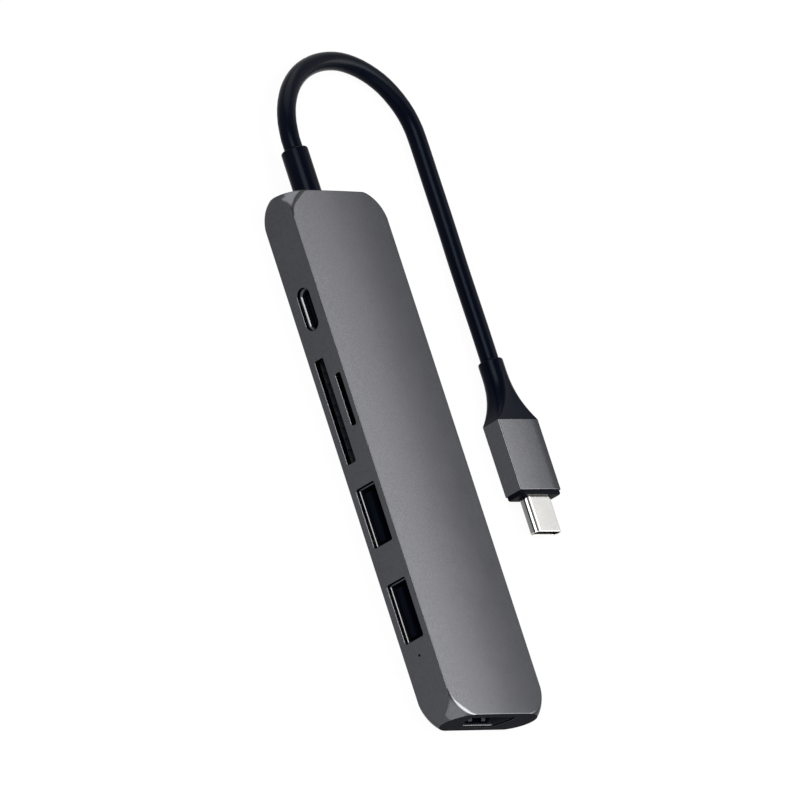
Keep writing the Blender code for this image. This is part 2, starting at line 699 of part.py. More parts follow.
def build_usb_c_port(site):
    length = USB_C_OPENING[0] - 2 * PORT_GAP
    height = USB_C_OPENING[1] - 2 * PORT_GAP
    mouth = -USB_C_SETBACK
    back = mouth - USB_C_DEPTH
    tube_part("usb_c_port_shell", stadium(length, height), back, mouth, USB_C_WALL, "nickel", site)
    inset = 2 * (USB_C_WALL + PORT_GAP)
    front = back + USB_C_BLOCK_DEPTH
    block = prism_mesh("usb_c_port_tongue", stadium(length - inset, height - inset), back, front)
    build_tongue("usb_c_port_tongue", block, USB_C_TONGUE, 0.0, front, -USB_C_TONGUE_SETBACK, site)


def build_usb_a_port(number, site):
    length = USB_A_OPENING[0] - 2 * PORT_GAP
    height = USB_A_OPENING[1] - 2 * PORT_GAP
    mouth = -USB_A_SETBACK
    back = mouth - USB_A_DEPTH
    outline = rounded_rectangle(length, height, USB_A_CORNER)
    tube_part(f"usb_a_port_shell_{number}", outline, back, mouth, USB_A_WALL, "nickel", site)
    inset = 2 * (USB_A_WALL + PORT_GAP)
    front = back + USB_A_BLOCK_DEPTH
    name = f"usb_a_port_tongue_{number}"
    block = box_mesh(name, (-(length - inset) / 2, -(height - inset) / 2, back),
                     ((length - inset) / 2, (height - inset) / 2, front))
    build_tongue(name, block, USB_A_TONGUE, USB_A_TONGUE_RISE, front, -USB_A_TONGUE_SETBACK, site)


def build_hdmi_port(site):
    mouth = -HDMI_SETBACK
    back = mouth - HDMI_DEPTH
    tube_part("hdmi_port_shell", end_port_outline(PORT_GAP), back, mouth, HDMI_WALL, "nickel", site)
    front = back + HDMI_BLOCK_DEPTH
    block = prism_mesh("hdmi_port_tongue", end_port_outline(2 * PORT_GAP + HDMI_WALL), back, front)
    build_tongue("hdmi_port_tongue", block, HDMI_TONGUE, 0.0, front, -HDMI_TONGUE_SETBACK, site)


def channel(half_width, wall, plate_low, plate_high, foot):
    # Section of a tray: a plate with a rail down each side, open at the foot
    inner = half_width - wall
    return [(-half_width, plate_high), (-half_width, foot), (-inner, foot), (-inner, plate_low),
            (inner, plate_low), (inner, foot), (half_width, foot), (half_width, plate_high)]


def build_card_slot(prefix, width, space, plate, cover, depth, side, site):
    # side is 1 where the tray's plate lies above the card and -1 where it lies below
    mouth = -SIDE_WALL - CARD_SETBACK
    half = width / 2 + CARD_RAIL
    rail_foot = -space / 2
    tray = channel(half, CARD_RAIL, space / 2, space / 2 + plate, rail_foot)
    tray = [(x, side * y) for x, y in tray]
    body = part(f"{prefix}_slot_body", prism_mesh(f"{prefix}_slot_body", tray, mouth - depth, mouth),
                "black_plastic", site)
    lid_inner = rail_foot - CARD_COVER_GAP
    lid_half = half + PORT_GAP + cover
    lid = [(-lid_half, space / 2), (-lid_half, lid_inner - cover), (lid_half, lid_inner - cover),
           (lid_half, space / 2), (lid_half - cover, space / 2), (lid_half - cover, lid_inner),
           (cover - lid_half, lid_inner), (cover - lid_half, space / 2)]
    lid = [(x, side * y) for x, y in lid]
    part(f"{prefix}_slot_cover", prism_mesh(f"{prefix}_slot_cover", lid, mouth - depth, mouth), "steel", site)
    return body


def cut_contact_comb(body, site):
    # Slots between the contact springs in the plate of the large card slot
    width, height, depth = SD_COMB_SLOT
    plate_face = -SD_OPENING[1] / 2
    mouth = -SIDE_WALL - CARD_SETBACK
    first = -SD_COMB_PITCH * (SD_COMB_COUNT - 1) / 2
    for number in range(SD_COMB_COUNT):
        x = first + number * SD_COMB_PITCH
        low = (x - width / 2, plate_face - height, mouth - depth)
        high = (x + width / 2, plate_face + CUT_MARGIN, mouth + CUT_MARGIN)
        name = f"comb_slot_{number + 1}"
        cut(body, cutter(name, box_mesh(name, low, high), site))


# Cable and plug

def build_strain_relief(site):
    # A plain collar outside, a neck through the end wall and a flange inside that holds it
    rim = COLLAR_LENGTH
    profile = [(0.0, rim)]
    soft = COLLAR_RIM_ROUNDING
    profile += arc(COLLAR_RADIUS - soft, rim - soft, soft, math.pi / 2, 0.0, 4)
    flange = -END_WALL - FIT_GAP
    foot = flange - COLLAR_FLANGE_THICKNESS
    profile += [(COLLAR_RADIUS, FIT_GAP), (COLLAR_NECK_RADIUS, FIT_GAP), (COLLAR_NECK_RADIUS, flange),
                (COLLAR_FLANGE_RADIUS, flange), (COLLAR_FLANGE_RADIUS, foot), (0.0, foot)]
    turned_part("strain_relief", profile, "black_rubber", site)


def build_lead_wires(site):
    start = -END_WALL - 2 * FIT_GAP - COLLAR_FLANGE_THICKNESS
    near, far = LEAD_WIRE_SPACING
    under_board = BOARD_RISE - SOLDER_GAP - LEAD_WIRE_RADIUS
    for number in range(LEAD_WIRE_COUNT):
        place = number - (LEAD_WIRE_COUNT - 1) / 2
        points = [(place * near, 0.0, start), (place * near, 0.0, start - LEAD_WIRE_LENGTH * 0.15),
                  (place * far, under_board, start - LEAD_WIRE_LENGTH * 0.55),
                  (place * far, under_board, start - LEAD_WIRE_LENGTH)]
        wire_part(f"lead_wire_{number + 1}", points, LEAD_WIRE_RADIUS, 2, "wire_insulation", site)


def plug_axis(along):
    # A point on the plug's axis, measured forward from the boot's rim
    return Vector((CABLE_END + PLUG_BACK + along, OUTLET_OFFSET + PLUG_ASIDE, PLUG_HEIGHT))


def build_cable():
    start = Vector((CABLE_END - COLLAR_LENGTH - FIT_GAP, OUTLET_OFFSET, PORT_LEVEL))
    points = [start - Vector((CABLE_LEAD_OUT, 0.0, 0.0))]
    for away, across, rise in CABLE_ROUTE:
        points.append(Vector((CABLE_END - away, OUTLET_OFFSET + across, CABLE_LOW + rise)))
    points.append(plug_axis(-FIT_GAP))
    wire_part("cable", [start] + smooth_route(points, CABLE_STEP), CABLE_DIAMETER / 2, 3, "black_rubber")


def boot_section(along, flare):
    # Round at the rim, then a rectangle with ever smaller corners out to the sleeve
    width = BOOT_RIM_RADIUS * 2 * (1 - flare) + SLEEVE_SIZE[0] * flare
    height = BOOT_RIM_RADIUS * 2 * (1 - flare) + SLEEVE_SIZE[1] * flare
    radius = BOOT_RIM_RADIUS * (1 - flare) + SLEEVE_CORNER * flare
    return [(x, y, along) for x, y in rounded_rectangle(width, height, radius * 0.999, 5)]


def build_boot(site):
    rim = -BOOT_LENGTH
    rings = []
    for angle in (90, 45, 0):
        shrink = BOOT_RIM_ROUNDING * (1 - math.cos(math.radians(angle)))
        along = rim + BOOT_RIM_ROUNDING * (1 - math.sin(math.radians(angle)))
        radius = BOOT_RIM_RADIUS - shrink
        rings.append([(x, y, along) for x, y in rounded_rectangle(2 * radius, 2 * radius, radius * 0.999, 5)])
    start = rim + BOOT_STRAIGHT
    for number in range(BOOT_FLARE_RINGS + 1):
        share = number / BOOT_FLARE_RINGS
        rings.append(boot_section(start + (-FIT_GAP - start) * share, share ** BOOT_FLARE_POWER))
    body = part("plug_boot", loft_mesh("plug_boot", rings), "black_rubber", site)
    half_width = SLEEVE_SIZE[0] / 2 - SLEEVE_WALL - FIT_GAP
    half_height = SLEEVE_SIZE[1] / 2 - SLEEVE_WALL - FIT_GAP
    low = (-half_width, -half_height, -CUT_MARGIN)
    high = (half_width, half_height, BOOT_TENON_LENGTH)
    join(body, cutter("boot_tenon", box_mesh("boot_tenon", low, high), site))


def sleeve_outline():
    # A rounded rectangle whose two wide sides swell a little
    width, height, length = SLEEVE_SIZE
    steps = 3
    corner = steps + 1
    flat = rounded_rectangle(width, height, SLEEVE_CORNER, steps)
    front = between(flat[corner - 1], flat[corner], SLEEVE_CROWN_STEPS)
    back = between(flat[3 * corner - 1], flat[3 * corner], SLEEVE_CROWN_STEPS)
    outline = flat[:corner] + front + flat[corner:3 * corner] + back + flat[3 * corner:]
    swell = [math.copysign(SLEEVE_CROWN, y) * max(0.0, 1 - (2 * x / width) ** 2) for x, y in outline]
    return [(x, y + rise) for (x, y), rise in zip(outline, swell)]


def build_sleeve(site):
    width, height, length = SLEEVE_SIZE
    outline = sleeve_outline()
    sleeve = part("plug_sleeve", prism_mesh("plug_sleeve", outline, 0.0, length), "anodised_aluminium", site)
    bore = rounded_rectangle(width - 2 * SLEEVE_WALL, height - 2 * SLEEVE_WALL, SLEEVE_BORE_CORNER, 3)
    bore_mesh = prism_mesh("sleeve_bore", bore, -CUT_MARGIN, length + CUT_MARGIN)
    cut(sleeve, cutter("sleeve_bore", bore_mesh, site))


def build_nose(site):
    low = SLEEVE_SIZE[2] + PORT_GAP
    high = low + NOSE_LENGTH
    outline = rounded_rectangle(SLEEVE_SIZE[0], SLEEVE_SIZE[1], NOSE_CORNER)
    nose = part("plug_nose", prism_mesh("plug_nose", outline, low, high), "black_plastic", site)
    half_width = SLEEVE_SIZE[0] / 2 - SLEEVE_WALL - PORT_GAP
    half_height = PLUG_SHELL_SIZE[1] / 2        # prongs beside the metal tongue, none above or below it
    tenon_low = SLEEVE_SIZE[2] - NOSE_TENON_LENGTH
    prong_low = (-half_width, -half_height, tenon_low)
    prong_high = (half_width, half_height, low + NOSE_LENGTH / 2)
    join(nose, cutter("nose_prongs", box_mesh("nose_prongs", prong_low, prong_high), site))
    hole = stadium(PLUG_SHELL_SIZE[0] + 2 * PORT_GAP, PLUG_SHELL_SIZE[1] + 2 * PORT_GAP)
    hole_mesh = prism_mesh("nose_hole", hole, tenon_low - CUT_MARGIN, high + CUT_MARGIN)
    cut(nose, cutter("nose_hole", hole_mesh, site))


def build_plug_tongue(site):
    length, height = PLUG_SHELL_SIZE
    back = SLEEVE_SIZE[2] - NOSE_TENON_LENGTH
    tip = SLEEVE_SIZE[2] + PORT_GAP + NOSE_LENGTH + PLUG_REACH
    tube_part("plug_shell", stadium(length, height), back, tip, PLUG_SHELL_WALL, "nickel", site)
    inset = 2 * (PLUG_SHELL_WALL + PLUG_LINER_GAP)
    liner_tip = tip - PLUG_LINER_SETBACK
    liner_mesh = prism_mesh("plug_insulator", stadium(length - inset, height - inset), back, liner_tip)
    liner = part("plug_insulator", liner_mesh, "black_plastic", site)
    width, thickness, depth = PLUG_SLOT
    slot = box_mesh("plug_slot", (-width / 2, -thickness / 2, liner_tip - depth),
                    (width / 2, thickness / 2, liner_tip + CUT_MARGIN))
    cut(liner, cutter("plug_slot", slot, site))
    board_width, board_thickness = PLUG_BOARD_SIZE
    board = box_mesh("plug_board", (-board_width / 2, -board_thickness / 2, BOOT_TENON_LENGTH + FIT_GAP),
                     (board_width / 2, board_thickness / 2, back - FIT_GAP))
    part("plug_board", board, "circuit_board", site)


def place_sites():
    along = {"usb_c": USB_C_FROM_CABLE_END, "sd": SD_FROM_CABLE_END, "microsd": MICROSD_FROM_CABLE_END,
             "led": LED_FROM_CABLE_END}
    level = {"sd": SD_LEVEL, "microsd": MICROSD_LEVEL}
    for number in range(USB_A_COUNT):
        along[f"usb_a_{number + 1}"] = USB_A_FROM_CABLE_END + number * USB_A_PITCH
    sites = {}
    for name, distance in along.items():
        place = (CABLE_END + distance, PORT_SIDE, level.get(name, PORT_LEVEL))
        sites[name] = holder(f"{name}_site", place, SIDE_FACING)
    sites["hdmi"] = holder("hdmi_site", (PORT_END, HDMI_OFFSET, PORT_LEVEL), END_FACING)
    sites["outlet"] = holder("outlet_site", (CABLE_END, OUTLET_OFFSET, PORT_LEVEL), CABLE_FACING)
    sites["plug"] = holder("plug_site", plug_axis(BOOT_LENGTH), END_FACING)
    return sites


def main():
    sites = place_sites()
    build_housing(sites)
    build_back_cover()
    build_board(sites)
    build_screws()
    build_board_parts()
    build_thermal_pad()
    build_indicator(sites["led"])
    build_usb_c_port(sites["usb_c"])
    for number in range(1, USB_A_COUNT + 1):
        build_usb_a_port(number, sites[f"usb_a_{number}"])
    build_hdmi_port(sites["hdmi"])
    sd_body = build_card_slot("sd", SD_OPENING[0], SD_OPENING[1], SD_PLATE, SD_COVER, SD_DEPTH, -1,
                              sites["sd"])
    cut_contact_comb(sd_body, sites["sd"])
    build_card_slot("microsd", MICROSD_OPENING[0], MICROSD_SPACE, MICROSD_PLATE, MICROSD_COVER,
                    MICROSD_DEPTH, -1, sites["microsd"])
    build_strain_relief(sites["outlet"])
    build_lead_wires(sites["outlet"])
    build_cable()
    build_boot(sites["plug"])
    build_sleeve(sites["plug"])
    build_nose(sites["plug"])
    build_plug_tongue(sites["plug"])


main()
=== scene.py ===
import math

import bmesh
import bpy
from mathutils import Euler, Matrix, Vector


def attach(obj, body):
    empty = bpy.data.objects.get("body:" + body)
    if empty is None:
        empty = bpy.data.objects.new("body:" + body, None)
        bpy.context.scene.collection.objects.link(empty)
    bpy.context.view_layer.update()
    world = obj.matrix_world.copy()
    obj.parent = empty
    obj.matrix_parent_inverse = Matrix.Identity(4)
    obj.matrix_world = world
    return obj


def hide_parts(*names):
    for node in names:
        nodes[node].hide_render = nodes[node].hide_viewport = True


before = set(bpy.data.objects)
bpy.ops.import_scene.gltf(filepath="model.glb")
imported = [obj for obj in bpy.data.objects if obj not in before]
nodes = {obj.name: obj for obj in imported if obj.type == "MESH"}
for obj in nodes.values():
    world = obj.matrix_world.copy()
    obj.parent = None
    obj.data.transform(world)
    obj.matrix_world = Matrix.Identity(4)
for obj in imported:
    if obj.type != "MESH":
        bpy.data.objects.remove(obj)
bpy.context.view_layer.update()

mm = 0.001
scene = bpy.context.scene
scene.view_settings.view_transform = "Standard"


# Shader sums
class Wire:  # one output socket, usable in sums
    def __init__(self, tree, socket=None):
        self.tree = tree
        self.socket = socket

    def feed(self, socket, value):
        if isinstance(value, Wire):
            self.tree.links.new(value.socket, socket)
        else:
            socket.default_value = value

    def node(self, kind, settings=None, sockets=None, out=0):
        made = self.tree.nodes.new(kind)
        for key, value in (settings or {}).items():
            setattr(made, key, value)
        for key, value in (sockets or {}).items():
            self.feed(made.inputs[key], value)
        return Wire(self.tree, made.outputs[out])

    def calc(self, operation, left, right):
        return self.node("ShaderNodeMath", {"operation": operation}, {0: left, 1: right})

    def __add__(self, other):
        return self.calc("ADD", self, other)

    def __radd__(self, other):
        return self.calc("ADD", other, self)

    def __sub__(self, other):
        return self.calc("SUBTRACT", self, other)

    def __rsub__(self, other):
        return self.calc("SUBTRACT", other, self)

    def __mul__(self, other):
        return self.calc("MULTIPLY", self, other)

    def __rmul__(self, other):
        return self.calc("MULTIPLY", other, self)

    def blend(self, low, high):  # a colour between two, by this value
        sockets = {0: self, 6: (*low, 1.0), 7: (*high, 1.0)}  # a Mix node's factor and its two colours
        return self.node("ShaderNodeMix", {"data_type": "RGBA"}, sockets, 2)


# Finishes
noiseLook = {"grainDetail": 2.0, "cloudDetail": 3.0, "level": 0.5}


def noise(wire, place, scale, detail):
    sockets = {"Vector": place, "Scale": scale, "Detail": detail}
    return wire.node("ShaderNodeTexNoise", {}, sockets, "Fac")


def grainedFinish(name, look):  # fine grain and soft clouds in the colour, the gloss and the relief
    material = bpy.data.materials.new(name)
    material.use_nodes = True
    wire = Wire(material.node_tree)
    shader = material.node_tree.nodes["Principled BSDF"]
    place = wire.node("ShaderNodeTexCoord", out="Object")
    grain = noise(wire, place, look["grainScale"], noiseLook["grainDetail"])
    cloud = noise(wire, place, look["cloudScale"], noiseLook["cloudDetail"])
    share = grain * look["grainShare"] + cloud * (1 - look["grainShare"])
    if "paintedFalloff" in look:  # paler towards one end: painted light falloff along the length
        share = share + wire.node("ShaderNodeSeparateXYZ", {}, {0: place}, "X") * look["paintedFalloff"]
    wire.feed(shader.inputs["Base Color"], share.blend(look["dark"], look["pale"]))
    rough = (cloud - noiseLook["level"]) * look["roughSpread"] + look["rough"]
    wire.feed(shader.inputs["Roughness"], rough)
    relief = {"Strength": look["bump"], "Distance": look["bumpDepth"], "Height": grain}
    wire.feed(shader.inputs["Normal"], wire.node("ShaderNodeBump", {}, relief, "Normal"))
    return material, shader


def metalFinish(name, look):
    material, shader = grainedFinish(name, look)
    shader.inputs["Metallic"].default_value = 1.0
    shader.inputs["Specular Tint"].default_value = (look["grazing"],) * 3 + (1.0,)
    return material


def mouldedFinish(name, look):
    material, shader = grainedFinish(name, look)
    shader.inputs["Specular IOR Level"].default_value = look["shine"]
    shader.inputs["Specular Tint"].default_value = (*look["shineTint"], 1.0)
    return material


# The anodised grey, made paler along +x: painted light falloff
anodisedLook = {
    "dark": (0.0440, 0.0448, 0.0490), "pale": (0.0880, 0.0896, 0.0980), "grainScale": 2600.0,
    "cloudScale": 160.0, "grainShare": 0.8, "paintedFalloff": 2.2, "rough": 0.19, "roughSpread": 0.03, "bump": 0.25,
    "bumpDepth": 0.02 * mm, "grazing": 0.5}
# The ends' copy of the grey, with less sheen at grazing so they render darker: painted shade
endShadeLook = {**anodisedLook, "grazing": 0.28}
# A paler cut finish for the chamfers' lower side: partly the real cut edge, partly painted highlight
chamferHighlightLook = {
    **anodisedLook, "dark": (0.083, 0.084, 0.088), "pale": (0.112, 0.113, 0.119), "rough": 0.24, "bump": 0.05,
    "grazing": 0.3}
nickelLook = {
    "dark": (0.60, 0.595, 0.58), "pale": (0.70, 0.695, 0.68), "grainScale": 2500.0, "cloudScale": 240.0,
    "grainShare": 0.4, "rough": 0.09, "roughSpread": 0.03, "bump": 0.03, "bumpDepth": 0.01 * mm,
    "grazing": 1.0}
# Port nickel copies far darker than nickel: painted shade of a port's inside; the mouth copy is smoother so
# lamps still give its lip a highlight
mouthShadeLook = {
    **nickelLook, "dark": (0.048, 0.048, 0.050), "pale": (0.068, 0.068, 0.071), "rough": 0.24, "grazing": 0.3}
# A darker nickel copy for the plug's rounded sides: painted shade
plugSideShadeLook = {**nickelLook, "dark": (0.17, 0.17, 0.175), "pale": (0.23, 0.23, 0.235)}
# The inside copy of the port nickel: painted shade
portShadeLook = {
    **nickelLook, "dark": (0.045, 0.049, 0.060), "pale": (0.075, 0.080, 0.095), "rough": 0.34, "grazing": 0.3}
# A paler nickel copy for the display port's foot: painted highlight
footHighlightLook = {**portShadeLook, "dark": (0.15, 0.152, 0.157), "pale": (0.21, 0.212, 0.218)}
shadowLook = {**portShadeLook, "dark": (0.008, 0.009, 0.013), "pale": (0.014, 0.0155, 0.021)}
steelLook = {**nickelLook, "dark": (0.48, 0.48, 0.49), "pale": (0.58, 0.58, 0.59), "rough": 0.24}
goldLook = {**nickelLook, "dark": (0.78, 0.55, 0.24), "pale": (0.90, 0.66, 0.31), "rough": 0.2}
plasticLook = {
    "dark": (0.0009, 0.0012, 0.0028), "pale": (0.0018, 0.0023, 0.0048), "grainScale": 3000.0,
    "cloudScale": 300.0, "grainShare": 0.4, "rough": 0.42, "roughSpread": 0.08, "bump": 0.08,
    "bumpDepth": 0.02 * mm, "shine": 0.012, "shineTint": (1.0, 1.0, 1.0)}
rubberLook = {
    "dark": (0.0005, 0.0009, 0.0027), "pale": (0.0009, 0.0015, 0.0041), "grainScale": 3600.0,
    "cloudScale": 140.0, "grainShare": 0.4, "rough": 0.25, "roughSpread": 0.05, "bump": 0.05,
    "bumpDepth": 0.02 * mm, "shine": 0.031, "shineTint": (0.72, 0.83, 1.0)}
combLook = {
    **plasticLook, "dark": (0.011, 0.012, 0.015), "pale": (0.019, 0.020, 0.024), "rough": 0.5, "shine": 0.2}
boardLook = {
    **plasticLook, "dark": (0.004, 0.005, 0.009), "pale": (0.008, 0.010, 0.016), "rough": 0.4, "shine": 0.3}
resinLook = {
    **plasticLook, "dark": (0.014, 0.014, 0.016), "pale": (0.024, 0.024, 0.027), "rough": 0.6, "shine": 0.35}
ferriteLook = {
    **plasticLook, "dark": (0.24, 0.21, 0.18), "pale": (0.36, 0.33, 0.29), "rough": 0.55, "shine": 0.4}
smokedLook = {
    **plasticLook, "dark": (0.05, 0.05, 0.055), "pale": (0.08, 0.08, 0.085), "rough": 0.3, "shine": 0.3}
padLook = {
    **plasticLook, "dark": (0.36, 0.43, 0.52), "pale": (0.46, 0.53, 0.62), "rough": 0.7, "shine": 0.3}
wireLook = {
    **plasticLook, "dark": (0.28, 0.03, 0.03), "pale": (0.40, 0.05, 0.05), "rough": 0.45, "shine": 0.4}

anodised = metalFinish("anodisedGrey", anodisedLook)
shadedEndGrey = metalFinish("shadedEndGrey", endShadeLook)
chamferHighlight = metalFinish("chamferPaintedHighlight", chamferHighlightLook)
nickel = metalFinish("brightNickel", nickelLook)
mouthShadeNickel = metalFinish("mouthShadeNickel", mouthShadeLook)
plugSideShadeNickel = metalFinish("shadedNickel", plugSideShadeLook)
portShadeNickel = metalFinish("portNickelPaintedShade", portShadeLook)
footHighlightNickel = metalFinish("footHighlightNickel", footHighlightLook)
shadowNickel = metalFinish("shadowNickel", shadowLook)
steel = metalFinish("springSteel", steelLook)
gold = metalFinish("goldContact", goldLook)
blackPlastic = mouldedFinish("blackMoulding", plasticLook)
slotPlastic = mouldedFinish("slotMoulding", combLook)
rubber = mouldedFinish("blackSheath", rubberLook)
boardMask = mouldedFinish("solderMask", boardLook)
resin = mouldedFinish("chipResin", resinLook)
ferrite = mouldedFinish("pressedFerrite", ferriteLook)
smokedMoulding = mouldedFinish("smokedMoulding", smokedLook)
softPad = mouldedFinish("siliconePad", padLook)
wireSkin = mouldedFinish("wireSkin", wireLook)
print("finishes made")

# Shapes
quarterTurn = math.pi / 2
quarterSides = ((1, 1), (-1, 1), (-1, -1), (1, -1))
facings = {
    "side": (quarterTurn, 0, 0), "end": (quarterTurn, 0, quarterTurn),
    "cable": (quarterTurn, 0, -quarterTurn)}
nearlyRound = 0.9999  # keeps the points of a round end apart
lipAngles = (0, 30, 60, 90)
rimAngles = range(0, 91, 15)
stripCorners = ((-1, -1), (1, -1), (1, 1), (-1, 1))


def scaled(points):  # from millimetres
    return [tuple(value * mm for value in point) for point in points]


def evenPlaces(count, pitch):
    return [(number - (count - 1) / 2) * pitch for number in range(count)]


def arc(x, y, radius, start, steps, turn=quarterTurn):
    angles = [start + turn * step / steps for step in range(steps + 1)]
    return [(x + radius * math.cos(angle), y + radius * math.sin(angle)) for angle in angles]


def roundedRect(length, width, radius, steps):
    outline = []
    for quarter, (sideX, sideY) in enumerate(quarterSides):
        x = sideX * (length / 2 - radius)
        y = sideY * (width / 2 - radius)
        outline += arc(x, y, radius, quarter * quarterTurn, steps)
    return outline


def slotOutline(length, height, steps):  # round ended, drawn in by an inset
    def drawn(inset=0.0):
        return roundedRect(length - 2 * inset, height - 2 * inset, (height / 2 - inset) * nearlyRound, steps)
    return drawn


def boxOutline(length, height, corner, steps=6, least=0.05 * mm):
    def drawn(inset=0.0):
        return roundedRect(length - 2 * inset, height - 2 * inset, max(corner - inset, least), steps)
    return drawn


def cornersWithNeighbours(corners):
    return zip(corners[-1:] + corners[:-1], corners, corners[1:] + corners[:1])


def insetCorners(corners, inset):  # a convex outline with each side moved in
    moved = []
    for before, here, after in cornersWithNeighbours(corners):
        sides = []
        for start, end in ((before, here), (here, after)):
            run = (Vector(end) - Vector(start)).normalized()
            sides.append((Vector(start) + Vector((-run.y, run.x)) * inset, run))
        (p, a), (q, b) = sides
        reach = ((q - p).x * b.y - (q - p).y * b.x) / (a.x * b.y - a.y * b.x)
        moved.append(p + a * reach)
    return moved


def filletCorners(corners, radius, steps):
    outline = []
    for before, here, after in cornersWithNeighbours(corners):
        back = (Vector(before) - Vector(here)).normalized()
        ahead = (Vector(after) - Vector(here)).normalized()
        half = back.angle(ahead) / 2
        middle = Vector(here) + (back + ahead).normalized() * radius / math.sin(half)
        first = Vector(here) + back * radius / math.tan(half) - middle
        last = Vector(here) + ahead * radius / math.tan(half) - middle
        start = math.atan2(first.y, first.x)
        turn = (math.atan2(last.y, last.x) - start + math.pi) % (2 * math.pi) - math.pi
        outline += arc(middle.x, middle.y, radius, start, steps, turn)
    return outline


def endPortOutline(look, steps=5):
    half = look["opening"][0] / 2
    top = look["opening"][1] / 2
    foot = look["foot"] / 2
    shoulder = top - look["upright"]
    corners = [(half, top), (-half, top), (-half, shoulder), (-foot, -top), (foot, -top), (half, shoulder)]

    def drawn(inset=0.0):
        radius = max(look["corner"] - inset * look["cornerShare"], look["leastCorner"])
        return filletCorners(insetCorners(corners, inset), radius, steps)
    return drawn


def shrunk(outline, gap):
    return lambda inset=0.0: outline(inset + gap)


def frameAt(place, facing):  # local z points out of the port
    return Matrix.Translation(place) @ Euler(facings[facing]).to_matrix().to_4x4()


def loftMesh(name, rings, closed=False, finishes=(), bandFinish=None, place=None):
    bm = bmesh.new()
    loops = [[bm.verts.new(point) for point in ring] for ring in rings]
    pairs = list(zip(loops, loops[1:]))
    if closed:
        pairs.append((loops[-1], loops[0]))
    for band, (lower, upper) in enumerate(pairs):
        for index in range(len(lower)):
            face = bm.faces.new((lower[index - 1], lower[index], upper[index], upper[index - 1]))
            face.material_index = (bandFinish or {}).get(band, 0)
    if not closed:
        bm.faces.new(loops[0])
        bm.faces.new(loops[-1])
    bmesh.ops.recalc_face_normals(bm, faces=bm.faces)
    if place is not None:
        bmesh.ops.transform(bm, matrix=place, verts=bm.verts)
    return meshFrom(bm, name, finishes)


def meshFrom(bm, name, finishes=()):
    mesh = bpy.data.meshes.new(name)
    bm.to_mesh(mesh)
    bm.free()
    for finish in finishes:
        mesh.materials.append(finish)
    return mesh


def smoothEdges(mesh, angle=32.0):
    mesh.shade_smooth()
    mesh.set_sharp_from_angle(angle=math.radians(angle))


def keepFlats(piece):  # large faces stay flat beside rounded ones
    step = piece.modifiers.new("flats", "WEIGHTED_NORMAL")
    step.keep_sharp = True


def newPiece(name, mesh, replaces=()):
    piece = bpy.data.objects.new(name, mesh)
    scene.collection.objects.link(piece)
    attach(piece, "root")
    if replaces:
        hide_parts(*replaces)
    return piece


def ringsFrom(outline, rows):  # rows are inset and height
    return [[(x, y, height) for x, y in outline(inset)] for inset, height in rows]


def roundRings(rows, roundness, steps=12):  # rows are radius and height
    rings = []
    for radius, height in rows:
        outline = roundedRect(2 * radius, 2 * radius, radius * roundness, steps)
        rings.append([(x, y, height) for x, y in outline])
    return rings


def rimRows(radius, rim, end, way):  # a rounded rim, from its end face out to the side
    turns = [math.radians(angle) for angle in rimAngles]
    return [(radius - rim + rim * math.sin(turn), end - way * rim * (1 - math.cos(turn))) for turn in turns]


def lipRows(low, high, wall, lip):  # a tube's wall: outside, rolled mouth, inside
    turns = [math.radians(angle) for angle in lipAngles]
    rows = [(0.0, low)] + [(lip * (1 - math.cos(turn)), high - lip + lip * math.sin(turn)) for turn in turns]
    return rows + [(wall - inset, height) for inset, height in reversed(rows)]


def tool(name, mesh):
    cutter = bpy.data.objects.new(name, mesh)
    scene.collection.objects.link(cutter)
    return cutter


def carve(piece, cutters, operation="DIFFERENCE"):
    for cutter in cutters:
        step = piece.modifiers.new(cutter.name, "BOOLEAN")
        step.object = cutter
        step.operation = operation
        step.solver = "EXACT"
        step.material_mode = "TRANSFER"
    seen = bpy.context.evaluated_depsgraph_get()
    mesh = bpy.data.meshes.new_from_object(piece.evaluated_get(seen))
    piece.modifiers.clear()
    piece.data = mesh
    for cutter in cutters:
        bpy.data.objects.remove(cutter, do_unlink=True)


def boxTool(name, low, high, place, finish):
    size = Vector(high) - Vector(low)
    middle = (Vector(high) + Vector(low)) / 2
    bm = bmesh.new()
    spot = Matrix.Translation(middle) @ Matrix.Diagonal((*size, 1.0))
    bmesh.ops.create_cube(bm, size=1.0, matrix=place @ spot)
    return tool(name, meshFrom(bm, name, (finish,)))


def strip(bm, path, size, place):  # a bent flat strip, its width along local x
    width, thickness = size
    side = Vector((1, 0, 0))
    loops = []
    for index, here in enumerate(path):
        before = Vector(path[max(index - 1, 0)])
        after = Vector(path[min(index + 1, len(path) - 1)])
        up = (after - before).cross(side).normalized() * thickness / 2
        four = [Vector(here) + side * sx * width / 2 + up * sy for sx, sy in stripCorners]
        loops.append([bm.verts.new(place @ point) for point in four])
    for lower, upper in zip(loops, loops[1:]):
        for index in range(4):
            bm.faces.new((lower[index - 1], lower[index], upper[index], upper[index - 1]))
    bm.faces.new(loops[0])
    bm.faces.new(loops[-1])


def stripRow(bm, places, path, size, place):  # path is local y and z
    for x in places:
        strip(bm, [(x, y, z) for y, z in path], size, place)


# Camera, its turn in degrees
viewLook = {
    "turn": (33.8773, -43.8536, 65.6319), "distance": 2.3998, "lens": 496.2, "sensor": 36.0,
    "aside": 2.645 * mm, "above": 14.665 * mm, "across": -0.2 * mm}


